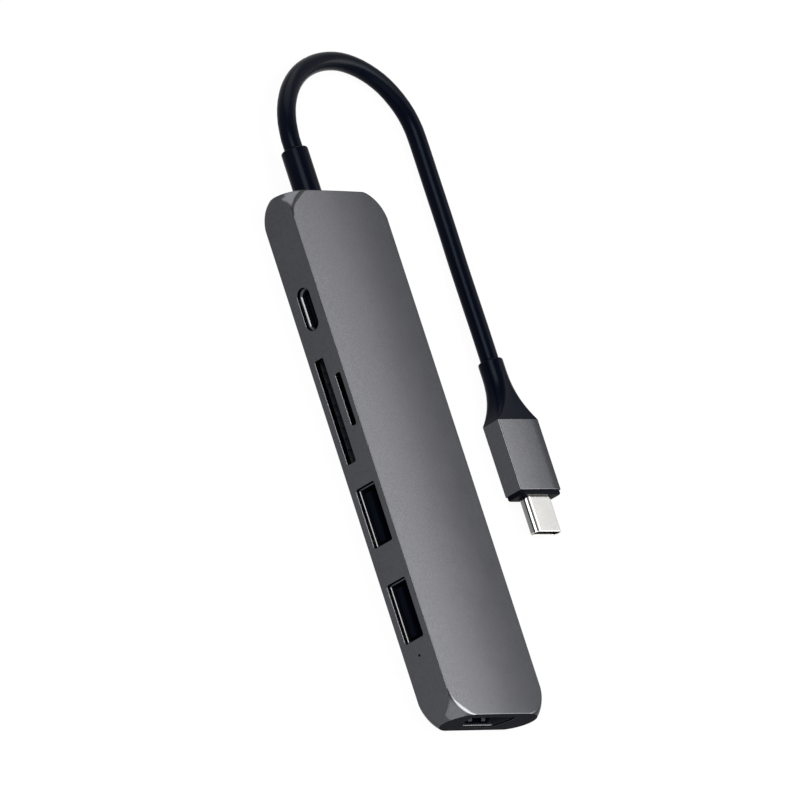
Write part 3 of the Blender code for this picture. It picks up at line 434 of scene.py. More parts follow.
def makeCamera():
    turn = Euler([math.radians(angle) for angle in viewLook["turn"]]).to_matrix()
    right, up, back = turn.transposed()
    data = bpy.data.cameras.new("photoCamera")
    data.lens = viewLook["lens"]
    data.sensor_width = viewLook["sensor"]
    camera = bpy.data.objects.new("photoCamera", data)
    scene.collection.objects.link(camera)
    spot = back * viewLook["distance"] + right * viewLook["aside"] + up * viewLook["above"]
    spot.y += viewLook["across"]
    camera.matrix_world = Matrix.Translation(spot) @ turn.to_4x4()
    scene.camera = camera


makeCamera()
print("camera placed")

# Sizes shared by the pieces
hub = {
    "length": 124.0 * mm, "width": 31.0 * mm, "thickness": 9.0 * mm, "faceCorner": 7.2 * mm,
    "middleCut": 0.8 * mm, "sideWall": 1.5 * mm, "endWall": 2.4 * mm, "frontWall": 1.2 * mm,
    "coverLip": 0.8 * mm, "coverDepth": 1.3 * mm}
cableEnd = -hub["length"] / 2
portEnd = hub["length"] / 2
portSide = -hub["width"] / 2
portLevel = hub["thickness"] / 2
ceiling = hub["thickness"] - hub["frontWall"]

# Cable, its route in mm: away from the end, across, and above its lowest run
cableLook = {
    "diameter": 4.2 * mm, "low": 2.15 * mm, "outletY": -2.85 * mm, "collar": 11.7 * mm, "gap": 0.3 * mm,
    "leadOut": 2.5 * mm, "plugBack": 37.6 * mm, "plugAside": 44.95 * mm, "plugHeight": 2.9 * mm,
    "step": 2.0 * mm, "curveParts": 24, "roundSteps": 10}
cableRoute = [
    (18.9, 1.1, 2.10), (23.6, 3.7, 1.55), (28.3, 7.9, 0.95), (32.15, 13.5, 0.45), (34.62, 20.2, 0.10),
    (35.31, 26.8, 0.0), (34.35, 32.2, 0.0), (32.45, 36.6, 0.0), (29.9, 40.2, 0.0), (26.75, 42.9, 0.0),
    (23.3, 44.8, 0.0), (19.5, 45.8, 0.0), (15.3, 46.0, 0.0), (6.8, 46.0, 0.0), (-4.0, 46.0, 0.0),
    (-14.0, 45.7, 0.12), (-22.5, 45.35, 0.42), (-30.5, 45.05, 0.70)]
outletPlace = Vector((cableEnd, cableLook["outletY"], portLevel))


def plugAxis(along):  # forward from the boot's rim
    x = cableEnd + cableLook["plugBack"] + along
    return Vector((x, cableLook["outletY"] + cableLook["plugAside"], cableLook["plugHeight"]))


def smoothLine(points, step):  # Catmull-Rom through the points, at even steps
    ends = [2 * points[0] - points[1]] + points + [2 * points[-1] - points[-2]]
    dense = []
    for a, b, c, d in zip(ends, ends[1:], ends[2:], ends[3:]):
        for count in range(cableLook["curveParts"]):
            t = count / cableLook["curveParts"]
            bend = 2 * a - 5 * b + 4 * c - d
            twist = 3 * b - a - 3 * c + d
            dense.append(0.5 * (2 * b + (c - a) * t + bend * t ** 2 + twist * t ** 3))
    dense.append(points[-1])
    runs = [0.0]
    for last, here in zip(dense, dense[1:]):
        runs.append(runs[-1] + (here - last).length)
    count = round(runs[-1] / step)
    line = []
    index = 0
    for number in range(count):
        wanted = runs[-1] * number / count
        while runs[index + 1] < wanted:
            index += 1
        share = (wanted - runs[index]) / (runs[index + 1] - runs[index])
        line.append(dense[index].lerp(dense[index + 1], share))
    return line + [dense[-1]]


def makeCable():
    start = outletPlace - Vector((cableLook["collar"] + cableLook["gap"], 0, 0))
    points = [start - Vector((cableLook["leadOut"], 0, 0))]
    for away, across, rise in scaled(cableRoute):
        points.append(Vector((outletPlace.x - away, outletPlace.y + across, cableLook["low"] + rise)))
    points.append(plugAxis(-cableLook["gap"]))
    line = [start] + smoothLine(points, cableLook["step"])
    curve = bpy.data.curves.new("cable_sheath", "CURVE")
    curve.dimensions = "3D"
    curve.bevel_depth = cableLook["diameter"] / 2
    curve.bevel_resolution = cableLook["roundSteps"]
    curve.use_fill_caps = True
    spline = curve.splines.new("POLY")
    spline.points.add(len(line) - 1)
    for point, spot in zip(spline.points, line):
        point.co = (*spot, 1.0)
    spline.use_smooth = True
    curve.materials.append(rubber)
    length = sum((here - last).length for last, here in zip(line, line[1:]))
    return newPiece("cable_sheath", curve, ["cable"]), length


cable, cableLength = makeCable()
print(f"cable {cableLength / mm:.1f} mm")

# Places and openings of the ports, along from the cable's end
portPlaces = {
    "smallPort": (26.6 * mm, portLevel), "card": (50.2 * mm, 3.05 * mm), "smallCard": (48.9 * mm, 6.95 * mm),
    "widePort1": (75.2 * mm, portLevel), "widePort2": (97.7 * mm, portLevel), "led": (108.15 * mm, portLevel)}
smallPortLook = {
    "opening": (10.0 * mm, 3.6 * mm), "steps": 16, "gap": 0.12 * mm, "wall": 0.48 * mm, "setback": 0.9 * mm,
    "depth": 7.6 * mm, "highlightBelow": 1.1 * mm, "contacts": 12, "pitch": 0.5 * mm, "contactRise": 0.36 * mm,
    "contactRun": (-5.4 * mm, -1.9 * mm), "contact": (0.26 * mm, 0.06 * mm)}
widePortLook = {
    "opening": (13.9 * mm, 5.5 * mm), "corner": 0.5 * mm, "leastCorner": 0.1 * mm, "gap": 0.2 * mm,
    "wall": 0.25 * mm, "setback": 0.8 * mm, "depth": 13.2 * mm, "highlightBelow": 2.2 * mm,
    "tongueFace": -0.15 * mm, "contacts": (-3.5 * mm, -1.0 * mm, 1.0 * mm, 3.5 * mm),
    "contact": (1.0 * mm, 0.12 * mm),
    "contactPath": scaled([(0.04, -10.1), (0.04, -6.2), (0.28, -5.4), (0.04, -4.6)]),
    "pads": 5, "padPitch": 2.0 * mm, "pad": (0.7 * mm, 0.1 * mm),
    "padPath": scaled([(0.04, -4.3), (0.04, -3.5)])}
endPortLook = {
    "opening": (15.0 * mm, 5.5 * mm), "foot": 9.7 * mm, "upright": 2.0 * mm, "corner": 0.55 * mm,
    "cornerShare": 0.5, "leastCorner": 0.08 * mm, "across": -1.0 * mm, "chamferShare": 0.4, "gap": 0.2 * mm,
    "wall": 0.16 * mm, "setback": 0.3 * mm, "depth": 11.3 * mm, "highlightBelow": 0.9 * mm,
    "rows": ((1, 10), (-1, 9)), "pitch": 1.0 * mm, "contactRise": 0.53 * mm,
    "contactRun": (-8.0 * mm, -2.5 * mm), "contact": (0.45 * mm, 0.08 * mm)}
cardLook = {"opening": (24.5 * mm, 2.5 * mm), "corner": 0.35 * mm}
smallCardLook = {"opening": (12.4 * mm, 1.4 * mm), "corner": 0.5 * mm}

portFrames = {}
for name, (along, level) in portPlaces.items():
    portFrames[name] = frameAt((cableEnd + along, portSide, level), "side")
portFrames["endPort"] = frameAt((portEnd, endPortLook["across"], portLevel), "end")
portFrames["outlet"] = frameAt(outletPlace, "cable")

# Housing. Soft shares are for the front's corners, the two on the plain side first
housingLook = {
    "crown": 0.2985 * mm, "edge": 0.15 * mm, "edgeStep": 10, "cornerSoft": 7.0, "cornerDrop": 0.26 * mm,
    "dropDepth": 0.1 * mm, "softShift": 1.45, "softShares": (0.1, 0.1, 0.75, 0.85), "cornerSteps": 20,
    "rollSteps": 22, "crownCuts": 21, "chamferWide": 0.125 * mm, "chamferDeep": 0.08 * mm, "past": 0.5 * mm,
    "highlightFacing": -0.75, "endFacing": 0.97, "overcut": 1.0 * mm, "pocketSteps": 12, "recessSteps": 16,
    "ledHole": 0.6 * mm, "ledSteps": 6, "neckHole": 5.2 * mm, "neckSteps": 12, "crease": 16.0,
    "touching": 1e-7}
screwLook = {
    "places": scaled([(14.0, 9.5), (14.0, -9.5), (86.5, -9.5), (106.0, 9.5)]), "boss": 4.2 * mm,
    "bossSteps": 6, "bossFoot": 6.3 * mm, "bossSink": 0.5 * mm, "bore": 2.1 * mm, "boreSteps": 4,
    "boreRun": (5.0 * mm, 7.5 * mm)}


def cornerPush(height):  # how far the corner's arc has moved out at one height
    share = abs(2 * height / hub["thickness"] - 1)
    reach = (hub["faceCorner"] - hub["middleCut"]) * math.sqrt(max(0.0, 1 - share ** 2))
    whole = reach + hub["faceCorner"]
    return (whole - math.sqrt(whole ** 2 - 2 * reach ** 2)) / 2


def cornerSoftness(quarter, share, height):  # most near the ends, and none on the back
    if height < portLevel:
        return 0.0
    toEnd = share if quarter % 2 else 1 - share
    return housingLook["softShares"][quarter] * math.sin(math.pi * toEnd ** housingLook["softShift"]) ** 2


def housingRing(height):
    edge = housingLook["edge"]
    depth = min(height, hub["thickness"] - height)
    inset = 0.0
    if depth < edge:
        inset = edge - math.sqrt(edge ** 2 - (edge - depth) ** 2)
    push = cornerPush(height)
    radius = hub["faceCorner"] - inset
    meeting = math.acos((radius - push) / radius)
    fade = (1 - math.exp(-depth / housingLook["dropDepth"])) * (1 - depth / portLevel)
    ring = []
    for quarter, (sideX, sideY) in enumerate(quarterSides):
        middleX = sideX * (hub["length"] / 2 - hub["faceCorner"] + push)
        middleY = sideY * (hub["width"] / 2 - hub["faceCorner"] + push)
        for step in range(housingLook["cornerSteps"] + 1):
            share = step / housingLook["cornerSteps"]
            angle = quarter * quarterTurn + meeting + (quarterTurn - 2 * meeting) * share
            soft = cornerSoftness(quarter, share, height)
            reach = radius - inset * housingLook["cornerSoft"] * soft
            drop = housingLook["cornerDrop"] * soft * fade
            ring.append((middleX + reach * math.cos(angle), middleY + reach * math.sin(angle), height - drop))
    return ring


def housingHeights():
    steps = housingLook["rollSteps"]
    low = {round(portLevel * (1 - math.cos(quarterTurn * step / steps)), 9) for step in range(1, steps)}
    for angle in range(0, 91, housingLook["edgeStep"]):
        low.add(round(housingLook["edge"] * (1 - math.sin(math.radians(angle))), 9))
    low = sorted(low)
    return low + [portLevel] + [hub["thickness"] - height for height in reversed(low)]


def crownFront(bm):  # the front face swells a little across its width
    for vert in bm.verts:
        lift = max(0.0, (vert.co.z - portLevel) / portLevel)
        vert.co.z += housingLook["crown"] * lift * (1 - (2 * vert.co.y / hub["width"]) ** 2)


def housingBlank():
    mesh = loftMesh("hub_housing", [housingRing(height) for height in housingHeights()])
    bm = bmesh.new()
    bm.from_mesh(mesh)
    for number in range(1, housingLook["crownCuts"] + 1):
        across = hub["width"] * (number / (housingLook["crownCuts"] + 1) - 0.5)
        geometry = bm.verts[:] + bm.edges[:] + bm.faces[:]
        bmesh.ops.bisect_plane(
            bm, geom=geometry, dist=housingLook["touching"], plane_co=(0, across, 0), plane_no=(0, 1, 0))
    crownFront(bm)
    return meshFrom(bm, "hub_housing", (anodised, chamferHighlight))


def plainCutter(name, outline, low, high, place=None):
    rings = ringsFrom(outline, [(0.0, low), (0.0, high)])
    return tool(name, loftMesh(name, rings, finishes=(anodised,), place=place))


def flaredCutter(name, outline, depth, share=1.0):  # an opening with a chamfer; only its lower side keeps the paler cut finish, partly the real cut edge, partly painted highlight
    deep = housingLook["chamferDeep"] * share
    wide = housingLook["chamferWide"] * share
    past = housingLook["past"]
    rings = ringsFrom(outline, [(0.0, -depth), (0.0, -deep), (-wide - past * wide / deep, past)])
    mesh = loftMesh(name, rings, finishes=(anodised, chamferHighlight), bandFinish={1: 1}, place=portFrames[name])
    for face in mesh.polygons:
        if face.normal.z > housingLook["highlightFacing"]:
            face.material_index = 0
    return tool(name, mesh)


def hollowCutters():  # the space inside, and the recess that the back's cover lies in
    length, width, corner = hub["length"], hub["width"], hub["faceCorner"]
    end, side, lip = hub["endWall"], hub["sideWall"], hub["coverLip"]
    pocket = boxOutline(length - 2 * end, width - 2 * side, corner - side, housingLook["pocketSteps"])
    recess = boxOutline(length - 2 * lip, width - 2 * lip, corner - lip, housingLook["recessSteps"])
    low = -housingLook["overcut"]
    tall = plainCutter("pocket", pocket, low, ceiling)
    return [tall, plainCutter("recess", recess, low, hub["coverDepth"])]


def screwTools():  # bosses to add under the front, and their bores
    boss = slotOutline(screwLook["boss"], screwLook["boss"], screwLook["bossSteps"])
    bore = slotOutline(screwLook["bore"], screwLook["bore"], screwLook["boreSteps"])
    bosses = []
    bores = []
    for number, (along, across) in enumerate(screwLook["places"]):
        spot = Matrix.Translation((cableEnd + along, across, 0))
        top = ceiling + screwLook["bossSink"]
        bosses.append(plainCutter(f"boss{number}", boss, screwLook["bossFoot"], top, spot))
        bores.append(plainCutter(f"bore{number}", bore, *screwLook["boreRun"], spot))
    return bosses, bores


def openingCutters():
    overcut = housingLook["overcut"]
    throughSide = hub["sideWall"] + overcut
    throughEnd = hub["endWall"] + overcut
    wideOutline = boxOutline(*widePortLook["opening"], widePortLook["corner"])
    sideOutlines = {
        "smallPort": slotOutline(*smallPortLook["opening"], smallPortLook["steps"]),
        "card": boxOutline(*cardLook["opening"], cardLook["corner"]),
        "smallCard": boxOutline(*smallCardLook["opening"], smallCardLook["corner"]),
        "widePort1": wideOutline, "widePort2": wideOutline}
    cutters = [flaredCutter(name, outline, throughSide) for name, outline in sideOutlines.items()]
    endOutline = endPortOutline(endPortLook)
    cutters.append(flaredCutter("endPort", endOutline, throughEnd, endPortLook["chamferShare"]))
    led = slotOutline(housingLook["ledHole"], housingLook["ledHole"], housingLook["ledSteps"])
    neck = slotOutline(housingLook["neckHole"], housingLook["neckHole"], housingLook["neckSteps"])
    cutters.append(plainCutter("ledHole", led, -throughSide, overcut, portFrames["led"]))
    cutters.append(plainCutter("neckHole", neck, -throughEnd, overcut, portFrames["outlet"]))
    return cutters


# The faces on the two ends take the darker end copy of the grey: painted shade
def shadeEnds(mesh):
    mesh.materials.append(shadedEndGrey)
    for face in mesh.polygons:
        facesEnd = abs(face.normal.x) > housingLook["endFacing"]
        if facesEnd and abs(face.center.x) > portEnd - housingLook["edge"]:
            face.material_index = len(mesh.materials) - 1


def makeHousing():
    housing = newPiece("hub_housing", housingBlank(), ["housing_shell"])
    carve(housing, hollowCutters())
    bosses, bores = screwTools()
    carve(housing, bosses, "UNION")
    carve(housing, bores + openingCutters())
    shadeEnds(housing.data)
    smoothEdges(housing.data, housingLook["crease"])
    keepFlats(housing)
    return housing


housing = makeHousing()
print("housing carved", len(housing.data.polygons), "faces")

# Ports, with the inset and depth of a mouth's steps as shares of the wall
mouthSteps = ((0.0, 0.0), (0.08, 0.0), (0.2, 0.05), (0.88, 0.53), (1.0, 0.75))

# Springs: the path is how far in from the wall and how deep
wideTopSpring = {
    "aside": 3.4 * mm, "windowHalf": 0.9 * mm, "windowOut": 0.5 * mm, "windowDeep": 0.7 * mm,
    "window": (-8.2 * mm, -3.0 * mm), "size": (1.3 * mm, 0.2 * mm),
    "path": scaled([(0.0, -8.3), (0.0, -7.6), (0.45, -5.0), (0.5, -4.5), (0.1, -3.4)])}
wideSideSpring = {
    **wideTopSpring, "aside": 0.0, "windowHalf": 1.0 * mm, "window": (-6.2 * mm, -2.2 * mm),
    "size": (1.4 * mm, 0.2 * mm), "path": scaled([(0.0, -6.3), (0.0, -5.6), (0.4, -3.6), (0.05, -2.5)])}
endSpring = {
    "aside": 2.2 * mm, "windowHalf": 0.95 * mm, "windowOut": endPortLook["wall"] / 2, "windowDeep": 0.4 * mm,
    "window": (-6.4 * mm, -1.1 * mm), "size": (1.3 * mm, 0.22 * mm),
    "path": scaled([(0.0, -6.5), (0.0, -5.6), (0.5, -2.6), (0.55, -2.0), (0.2, -1.25)])}


def portTube(name, outline, look, place, node, mouth, inside):  # a metal lining: the low part of its mouth takes the mouth finish, where the lit lip is, and the rest the inside finish, nickel darkened as painted shade
    front = -look["setback"]
    back = front - look["depth"]
    lip = [(look["wall"] * inset, front - look["wall"] * depth) for inset, depth in mouthSteps]
    rings = ringsFrom(outline, [(0.0, back)] + lip + [(look["wall"], back)])
    finishes = (mouth, inside)
    mesh = loftMesh(name, rings, closed=True, finishes=finishes, bandFinish={len(lip): 1}, place=place)
    for face in mesh.polygons:
        if face.center.z > place.translation.z - look["highlightBelow"]:
            face.material_index = 1
    piece = newPiece(name, mesh, [node])
    smoothEdges(mesh)
    return piece


def addSpring(bm, name, x, side, half, wall, spring, place):  # a spring, and the window in the wall behind it
    middle = side * (half + spring["windowOut"])
    low = (x - spring["windowHalf"], middle - spring["windowDeep"], spring["window"][0])
    high = (x + spring["windowHalf"], middle + spring["windowDeep"], spring["window"][1])
    level = half + wall / 2
    path = [(side * (level - inward), depth) for inward, depth in spring["path"]]
    stripRow(bm, [x], path, spring["size"], place)
    return boxTool(name, low, high, place, nickel)


def makeSmallPort():
    place = portFrames["smallPort"]
    outline = shrunk(slotOutline(*smallPortLook["opening"], smallPortLook["steps"]), smallPortLook["gap"])
    portTube("usb_c_mouth", outline, smallPortLook, place, "usb_c_port_shell", mouthShadeNickel, portShadeNickel)
    bm = bmesh.new()
    places = evenPlaces(smallPortLook["contacts"], smallPortLook["pitch"])
    for side in (-1, 1):
        path = [(side * smallPortLook["contactRise"], depth) for depth in smallPortLook["contactRun"]]
        stripRow(bm, places, path, smallPortLook["contact"], place)
    newPiece("usb_c_contacts", meshFrom(bm, "usb_c_contacts", (gold,)))


def makeWidePort(number):
    look = widePortLook
    name = f"usb_a_mouth_{number}"
    place = portFrames[f"widePort{number}"]
    outline = shrunk(boxOutline(*look["opening"], look["corner"], least=look["leastCorner"]), look["gap"])
    tube = portTube(name, outline, look, place, f"usb_a_port_shell_{number}", mouthShadeNickel, portShadeNickel)
    halfWidth, halfHeight = [size / 2 - look["gap"] - look["wall"] for size in look["opening"]]
    turned = place @ Matrix.Rotation(quarterTurn, 4, "Z")
    windows = []
    bm = bmesh.new()
    for up in (-1, 1):
        for side in (-1, 1):
            x = side * wideTopSpring["aside"]
            window = f"window{number}{up}{side}"
            windows.append(addSpring(bm, window, x, up, halfHeight, look["wall"], wideTopSpring, place))
    for side in (-1, 1):
        window = f"sideWindow{number}{side}"
        x = wideSideSpring["aside"]
        windows.append(addSpring(bm, window, x, side, halfWidth, look["wall"], wideSideSpring, turned))
    carve(tube, windows)
    smoothEdges(tube.data)
    # The springs, and below them the contacts, take the darkened port nickel: painted shade
    newPiece(f"usb_a_springs_{number}", meshFrom(bm, name + "_springs", (portShadeNickel,)))
    bm = bmesh.new()
    contactPath = [(look["tongueFace"] + rise, depth) for rise, depth in look["contactPath"]]
    padPath = [(look["tongueFace"] + rise, depth) for rise, depth in look["padPath"]]
    stripRow(bm, look["contacts"], contactPath, look["contact"], place)
    stripRow(bm, evenPlaces(look["pads"], look["padPitch"]), padPath, look["pad"], place)
    newPiece(f"usb_a_contacts_{number}", meshFrom(bm, name + "_contacts", (portShadeNickel,)))


def makeEndPort():
    place = portFrames["endPort"]
    outline = shrunk(endPortOutline(endPortLook), endPortLook["gap"])
    # the display port's foot takes the paler copy as painted highlight, the rest the shadow copy
    tube = portTube("hdmi_mouth", outline, endPortLook, place, "hdmi_port_shell", footHighlightNickel, shadowNickel)
    half = endPortLook["opening"][1] / 2 - endPortLook["gap"] - endPortLook["wall"]
    windows = []
    bm = bmesh.new()
    for side in (-1, 1):
        x = side * endSpring["aside"]
        windows.append(addSpring(bm, f"endWindow{side}", x, -1, half, endPortLook["wall"], endSpring, place))
    carve(tube, windows)
    smoothEdges(tube.data)
    newPiece("hdmi_springs", meshFrom(bm, "hdmi_springs", (shadowNickel,)))
    bm = bmesh.new()
    for row, count in endPortLook["rows"]:
        path = [(row * endPortLook["contactRise"], depth) for depth in endPortLook["contactRun"]]
        stripRow(bm, evenPlaces(count, endPortLook["pitch"]), path, endPortLook["contact"], place)
    newPiece("hdmi_contacts", meshFrom(bm, "hdmi_contacts", (gold,)))


makeSmallPort()
makeWidePort(1)
makeWidePort(2)
makeEndPort()
print("ports made")

# Collar, boot, plug
collarLook = {
    "radius": 3.05 * mm, "rim": 0.45 * mm, "neck": 2.3 * mm, "flange": 3.0 * mm, "flangeDepth": 1.2 * mm,
    "clear": 0.3 * mm}
bootLook = {
    "length": 14.9 * mm, "rim": 2.85 * mm, "rimRound": 0.4 * mm, "straight": 2.5 * mm, "flarePower": 2.4,
    "flareSteps": 28, "roundness": 0.9995, "seam": 0.04 * mm, "tenonLess": 1.8 * mm, "tenonCorner": 0.1 * mm,
    "tenonLength": 2.0 * mm, "steps": 12}
sleeveLook = {
    "size": (13.6 * mm, 4.95 * mm, 16.9 * mm), "wall": 0.6 * mm, "corner": 0.25 * mm,
    "leastCorner": 0.12 * mm, "cornerSteps": 5, "lip": 0.12 * mm, "crown": 0.22 * mm, "ridge": 4.6 * mm,
    "crownParts": 16, "wideSide": 5.0 * mm}
noseLook = {
    "length": 0.8 * mm, "seat": 0.2 * mm, "seam": 0.03 * mm, "corner": 1.1 * mm, "leastCorner": 0.2 * mm,
    "soft": 0.35 * mm, "softAngles": (0, 22, 45, 68, 90), "tenon": 2.5 * mm, "tenonLess": 1.6 * mm,
    "tenonCorner": 0.15 * mm, "holeClear": 0.3 * mm, "steps": 10}
plugLook = {
    "size": (9.0 * mm, 2.65 * mm), "wall": 0.3 * mm, "lip": 0.14 * mm, "reach": 8.5 * mm, "steps": 16,
    "wallFacing": 0.1, "flatFacing": 0.9, "contacts": 12, "pitch": 0.5 * mm,
    "contact": (0.24 * mm, 0.06 * mm), "contactPath": scaled([(0.36, -5.6), (0.30, -1.4), (0.36, -0.9)])}
stubRows = scaled([(1.2, 0.27), (2.0, 0.27), (2.06, 0.2), (2.06, 0.0)])  # fills the gap to the cable
softCrease = 40.0
plugFrame = frameAt(plugAxis(bootLook["length"]), "end")
noseTop = sleeveLook["size"][2] + noseLook["seat"] + noseLook["length"]


def makeCollar():
    top = cableLook["collar"]
    clear = collarLook["clear"]
    flange = -hub["endWall"] - clear
    rows = [(radius, top + height) for radius, height in stubRows]
    rows += rimRows(collarLook["radius"], collarLook["rim"], top, 1)
    rows += [(collarLook["radius"], clear), (collarLook["neck"], clear), (collarLook["neck"], flange)]
    rows += [(collarLook["flange"], flange), (collarLook["flange"], flange - collarLook["flangeDepth"])]
    rings = roundRings(rows, nearlyRound)
    mesh = loftMesh("cable_collar", rings, finishes=(rubber,), place=portFrames["outlet"])
    smoothEdges(mesh, softCrease)
    return newPiece("cable_collar", mesh, ["strain_relief"])


def bootRing(along, flare):  # between the round rim and the sleeve's rectangle
    wide, high = [2 * bootLook["rim"] * (1 - flare) + size * flare for size in sleeveLook["size"][:2]]
    radius = bootLook["rim"] * (1 - flare) + sleeveLook["corner"] * flare
    outline = roundedRect(wide, high, radius * bootLook["roundness"], bootLook["steps"])
    return [(x, y, along) for x, y in outline]


def makeBoot():
    rim = -bootLook["length"]
    start = rim + bootLook["straight"]
    end = -bootLook["seam"]
    rows = [(radius, rim - height) for radius, height in stubRows]
    rows += rimRows(bootLook["rim"], bootLook["rimRound"], rim, -1)
    rings = roundRings(rows, bootLook["roundness"])
    for step in range(bootLook["flareSteps"] + 1):
        share = step / bootLook["flareSteps"]
        rings.append(bootRing(start + (end - start) * share, share ** bootLook["flarePower"]))
    wide, high = [size - bootLook["tenonLess"] for size in sleeveLook["size"][:2]]
    tenon = roundedRect(wide, high, bootLook["tenonCorner"], bootLook["steps"])
    rings += [[(x, y, along) for x, y in tenon] for along in (end, bootLook["tenonLength"])]
    mesh = loftMesh("plug_boot_skin", rings, finishes=(rubber,), place=plugFrame)
    smoothEdges(mesh, softCrease)
    return newPiece("plug_boot_skin", mesh, ["plug_boot"])


def sleeveOutline(inset=0.0):  # the two wide sides are cut up for their crown
    width, height, length = sleeveLook["size"]
    ridge = sleeveLook["ridge"]
    corner = max(sleeveLook["corner"] - inset, sleeveLook["leastCorner"])
    outline = roundedRect(width - 2 * inset, height - 2 * inset, corner, sleeveLook["cornerSteps"])
    swell = sleeveLook["crown"] if inset < sleeveLook["wall"] / 2 else 0.0
    full = []
    for (x0, y0), (x1, y1) in zip(outline, outline[1:] + outline[:1]):
        parts = sleeveLook["crownParts"] if abs(x1 - x0) > sleeveLook["wideSide"] else 1
        for part in range(parts):
            x = x0 + (x1 - x0) * part / parts
            y = y0 + (y1 - y0) * part / parts
            reach = width / 2 + math.copysign(ridge, ridge - x)
            lift = swell * max(0.0, 1 - ((x - ridge) / reach) ** 2)
            full.append((x, y + math.copysign(lift, y)))
    return full


def makeSleeve():
    half = sleeveLook["size"][2] / 2
    rows = lipRows(0.0, half, sleeveLook["wall"], sleeveLook["lip"])[1:-1]
    front = [(inset, half + height) for inset, height in rows]
    back = [(inset, half - height) for inset, height in reversed(rows)]
    rings = ringsFrom(sleeveOutline, front + back)
    mesh = loftMesh("plug_sleeve_skin", rings, closed=True, finishes=(anodised,), place=plugFrame)
    smoothEdges(mesh)
    sleeve = newPiece("plug_sleeve_skin", mesh, ["plug_sleeve"])
    keepFlats(sleeve)
    return sleeve


def makeNose():
    width, height, length = sleeveLook["size"]
    steps = noseLook["steps"]
    soft = noseLook["soft"]
    low = length + noseLook["seam"]
    back = length - noseLook["tenon"]
    less = noseLook["tenonLess"]
    flange = boxOutline(width, height, noseLook["corner"], steps, noseLook["leastCorner"])
    tenon = boxOutline(width - less, height - less, noseLook["tenonCorner"], steps)
    hole = slotOutline(*[size + noseLook["holeClear"] for size in plugLook["size"]], steps)
    turns = [math.radians(angle) for angle in noseLook["softAngles"]]
    roll = [(soft - soft * math.cos(turn), noseTop - soft + soft * math.sin(turn)) for turn in turns]
    rings = ringsFrom(tenon, [(0.0, back), (0.0, low)]) + ringsFrom(flange, [(0.0, low)])
    rings += ringsFrom(flange, roll) + ringsFrom(hole, [(0.0, noseTop), (0.0, back)])
    mesh = loftMesh("plug_nose_rim", rings, closed=True, finishes=(blackPlastic,), place=plugFrame)
    smoothEdges(mesh)
    return newPiece("plug_nose_rim", mesh, ["plug_nose"])


def makePlugShell():
    back = sleeveLook["size"][2] - noseLook["tenon"]
    tip = noseTop + plugLook["reach"]
    rows = lipRows(back, tip, plugLook["wall"], plugLook["lip"])
    rings = ringsFrom(slotOutline(*plugLook["size"], plugLook["steps"]), rows)
    mesh = loftMesh("plug_metal", rings, closed=True, finishes=(nickel, plugSideShadeNickel), place=plugFrame)
    for face in mesh.polygons:  # the rounded sides take a darker nickel than the flats: painted shade, standing in for the dark reflection along them
        if abs(face.normal.x) < plugLook["wallFacing"] and abs(face.normal.z) < plugLook["flatFacing"]:
            face.material_index = 1
    smoothEdges(mesh)
    bm = bmesh.new()
    places = evenPlaces(plugLook["contacts"], plugLook["pitch"])
    for side in (-1, 1):
        path = [(side * rise, tip + depth) for rise, depth in plugLook["contactPath"]]
        stripRow(bm, places, path, plugLook["contact"], plugFrame)
    contacts = newPiece("plug_contacts", meshFrom(bm, "plug_contacts", (gold,)))
    metal = newPiece("plug_metal", mesh, ["plug_shell"])
    keepFlats(metal)
    return metal, contacts


collar = makeCollar()
plugPieces = [makeBoot(), makeSleeve(), makeNose(), *makePlugShell()]
print("cable and plug made")

# Nodes kept from the model, some with a soft edge in mm
keptNodes = [
    (anodised, ["back_cover"]), (boardMask, ["main_board", "plug_board"]), (softPad, ["thermal_pad"]),
    (smokedMoulding, ["light_pipe", "status_led"]), (ferrite, ["power_inductor_1", "power_inductor_2"]),
    (steel, ["clock_crystal", "sd_slot_cover", "microsd_slot_cover"]),
    (steel, [f"board_screw_{number}" for number in range(1, 5)]),
    (wireSkin, [f"lead_wire_{number}" for number in range(1, 5)]),
    (resin, ["hub_controller_chip", "video_converter_chip", "card_reader_chip", "power_delivery_chip"]),
    (resin, ["bulk_capacitor_1", "bulk_capacitor_2"]), (slotPlastic, ["sd_slot_body", "microsd_slot_body"]),
    (blackPlastic, ["usb_c_port_tongue", "usb_a_port_tongue_1", "usb_a_port_tongue_2", "hdmi_port_tongue"]),
    (blackPlastic, ["plug_insulator"])]
softEdges = {
    "usb_c_port_tongue": 0.08, "usb_a_port_tongue_1": 0.15, "usb_a_port_tongue_2": 0.15,
    "hdmi_port_tongue": 0.1, "sd_slot_body": 0.06, "microsd_slot_body": 0.05}
softenLook = {"weldReach": 1e-6, "segments": 2}


def softenEdges(node, width):
    weld = node.modifiers.new("weld", "WELD")
    weld.merge_threshold = softenLook["weldReach"]
    bevel = node.modifiers.new("soft", "BEVEL")
    bevel.width = width
    bevel.segments = softenLook["segments"]
    bevel.limit_method = "ANGLE"


for finish, names in keptNodes:
    for name in names:
        nodes[name].data.materials.clear()
        nodes[name].data.materials.append(finish)
        if name in softEdges:
            softenEdges(nodes[name], softEdges[name] * mm)
print("kept nodes finished")

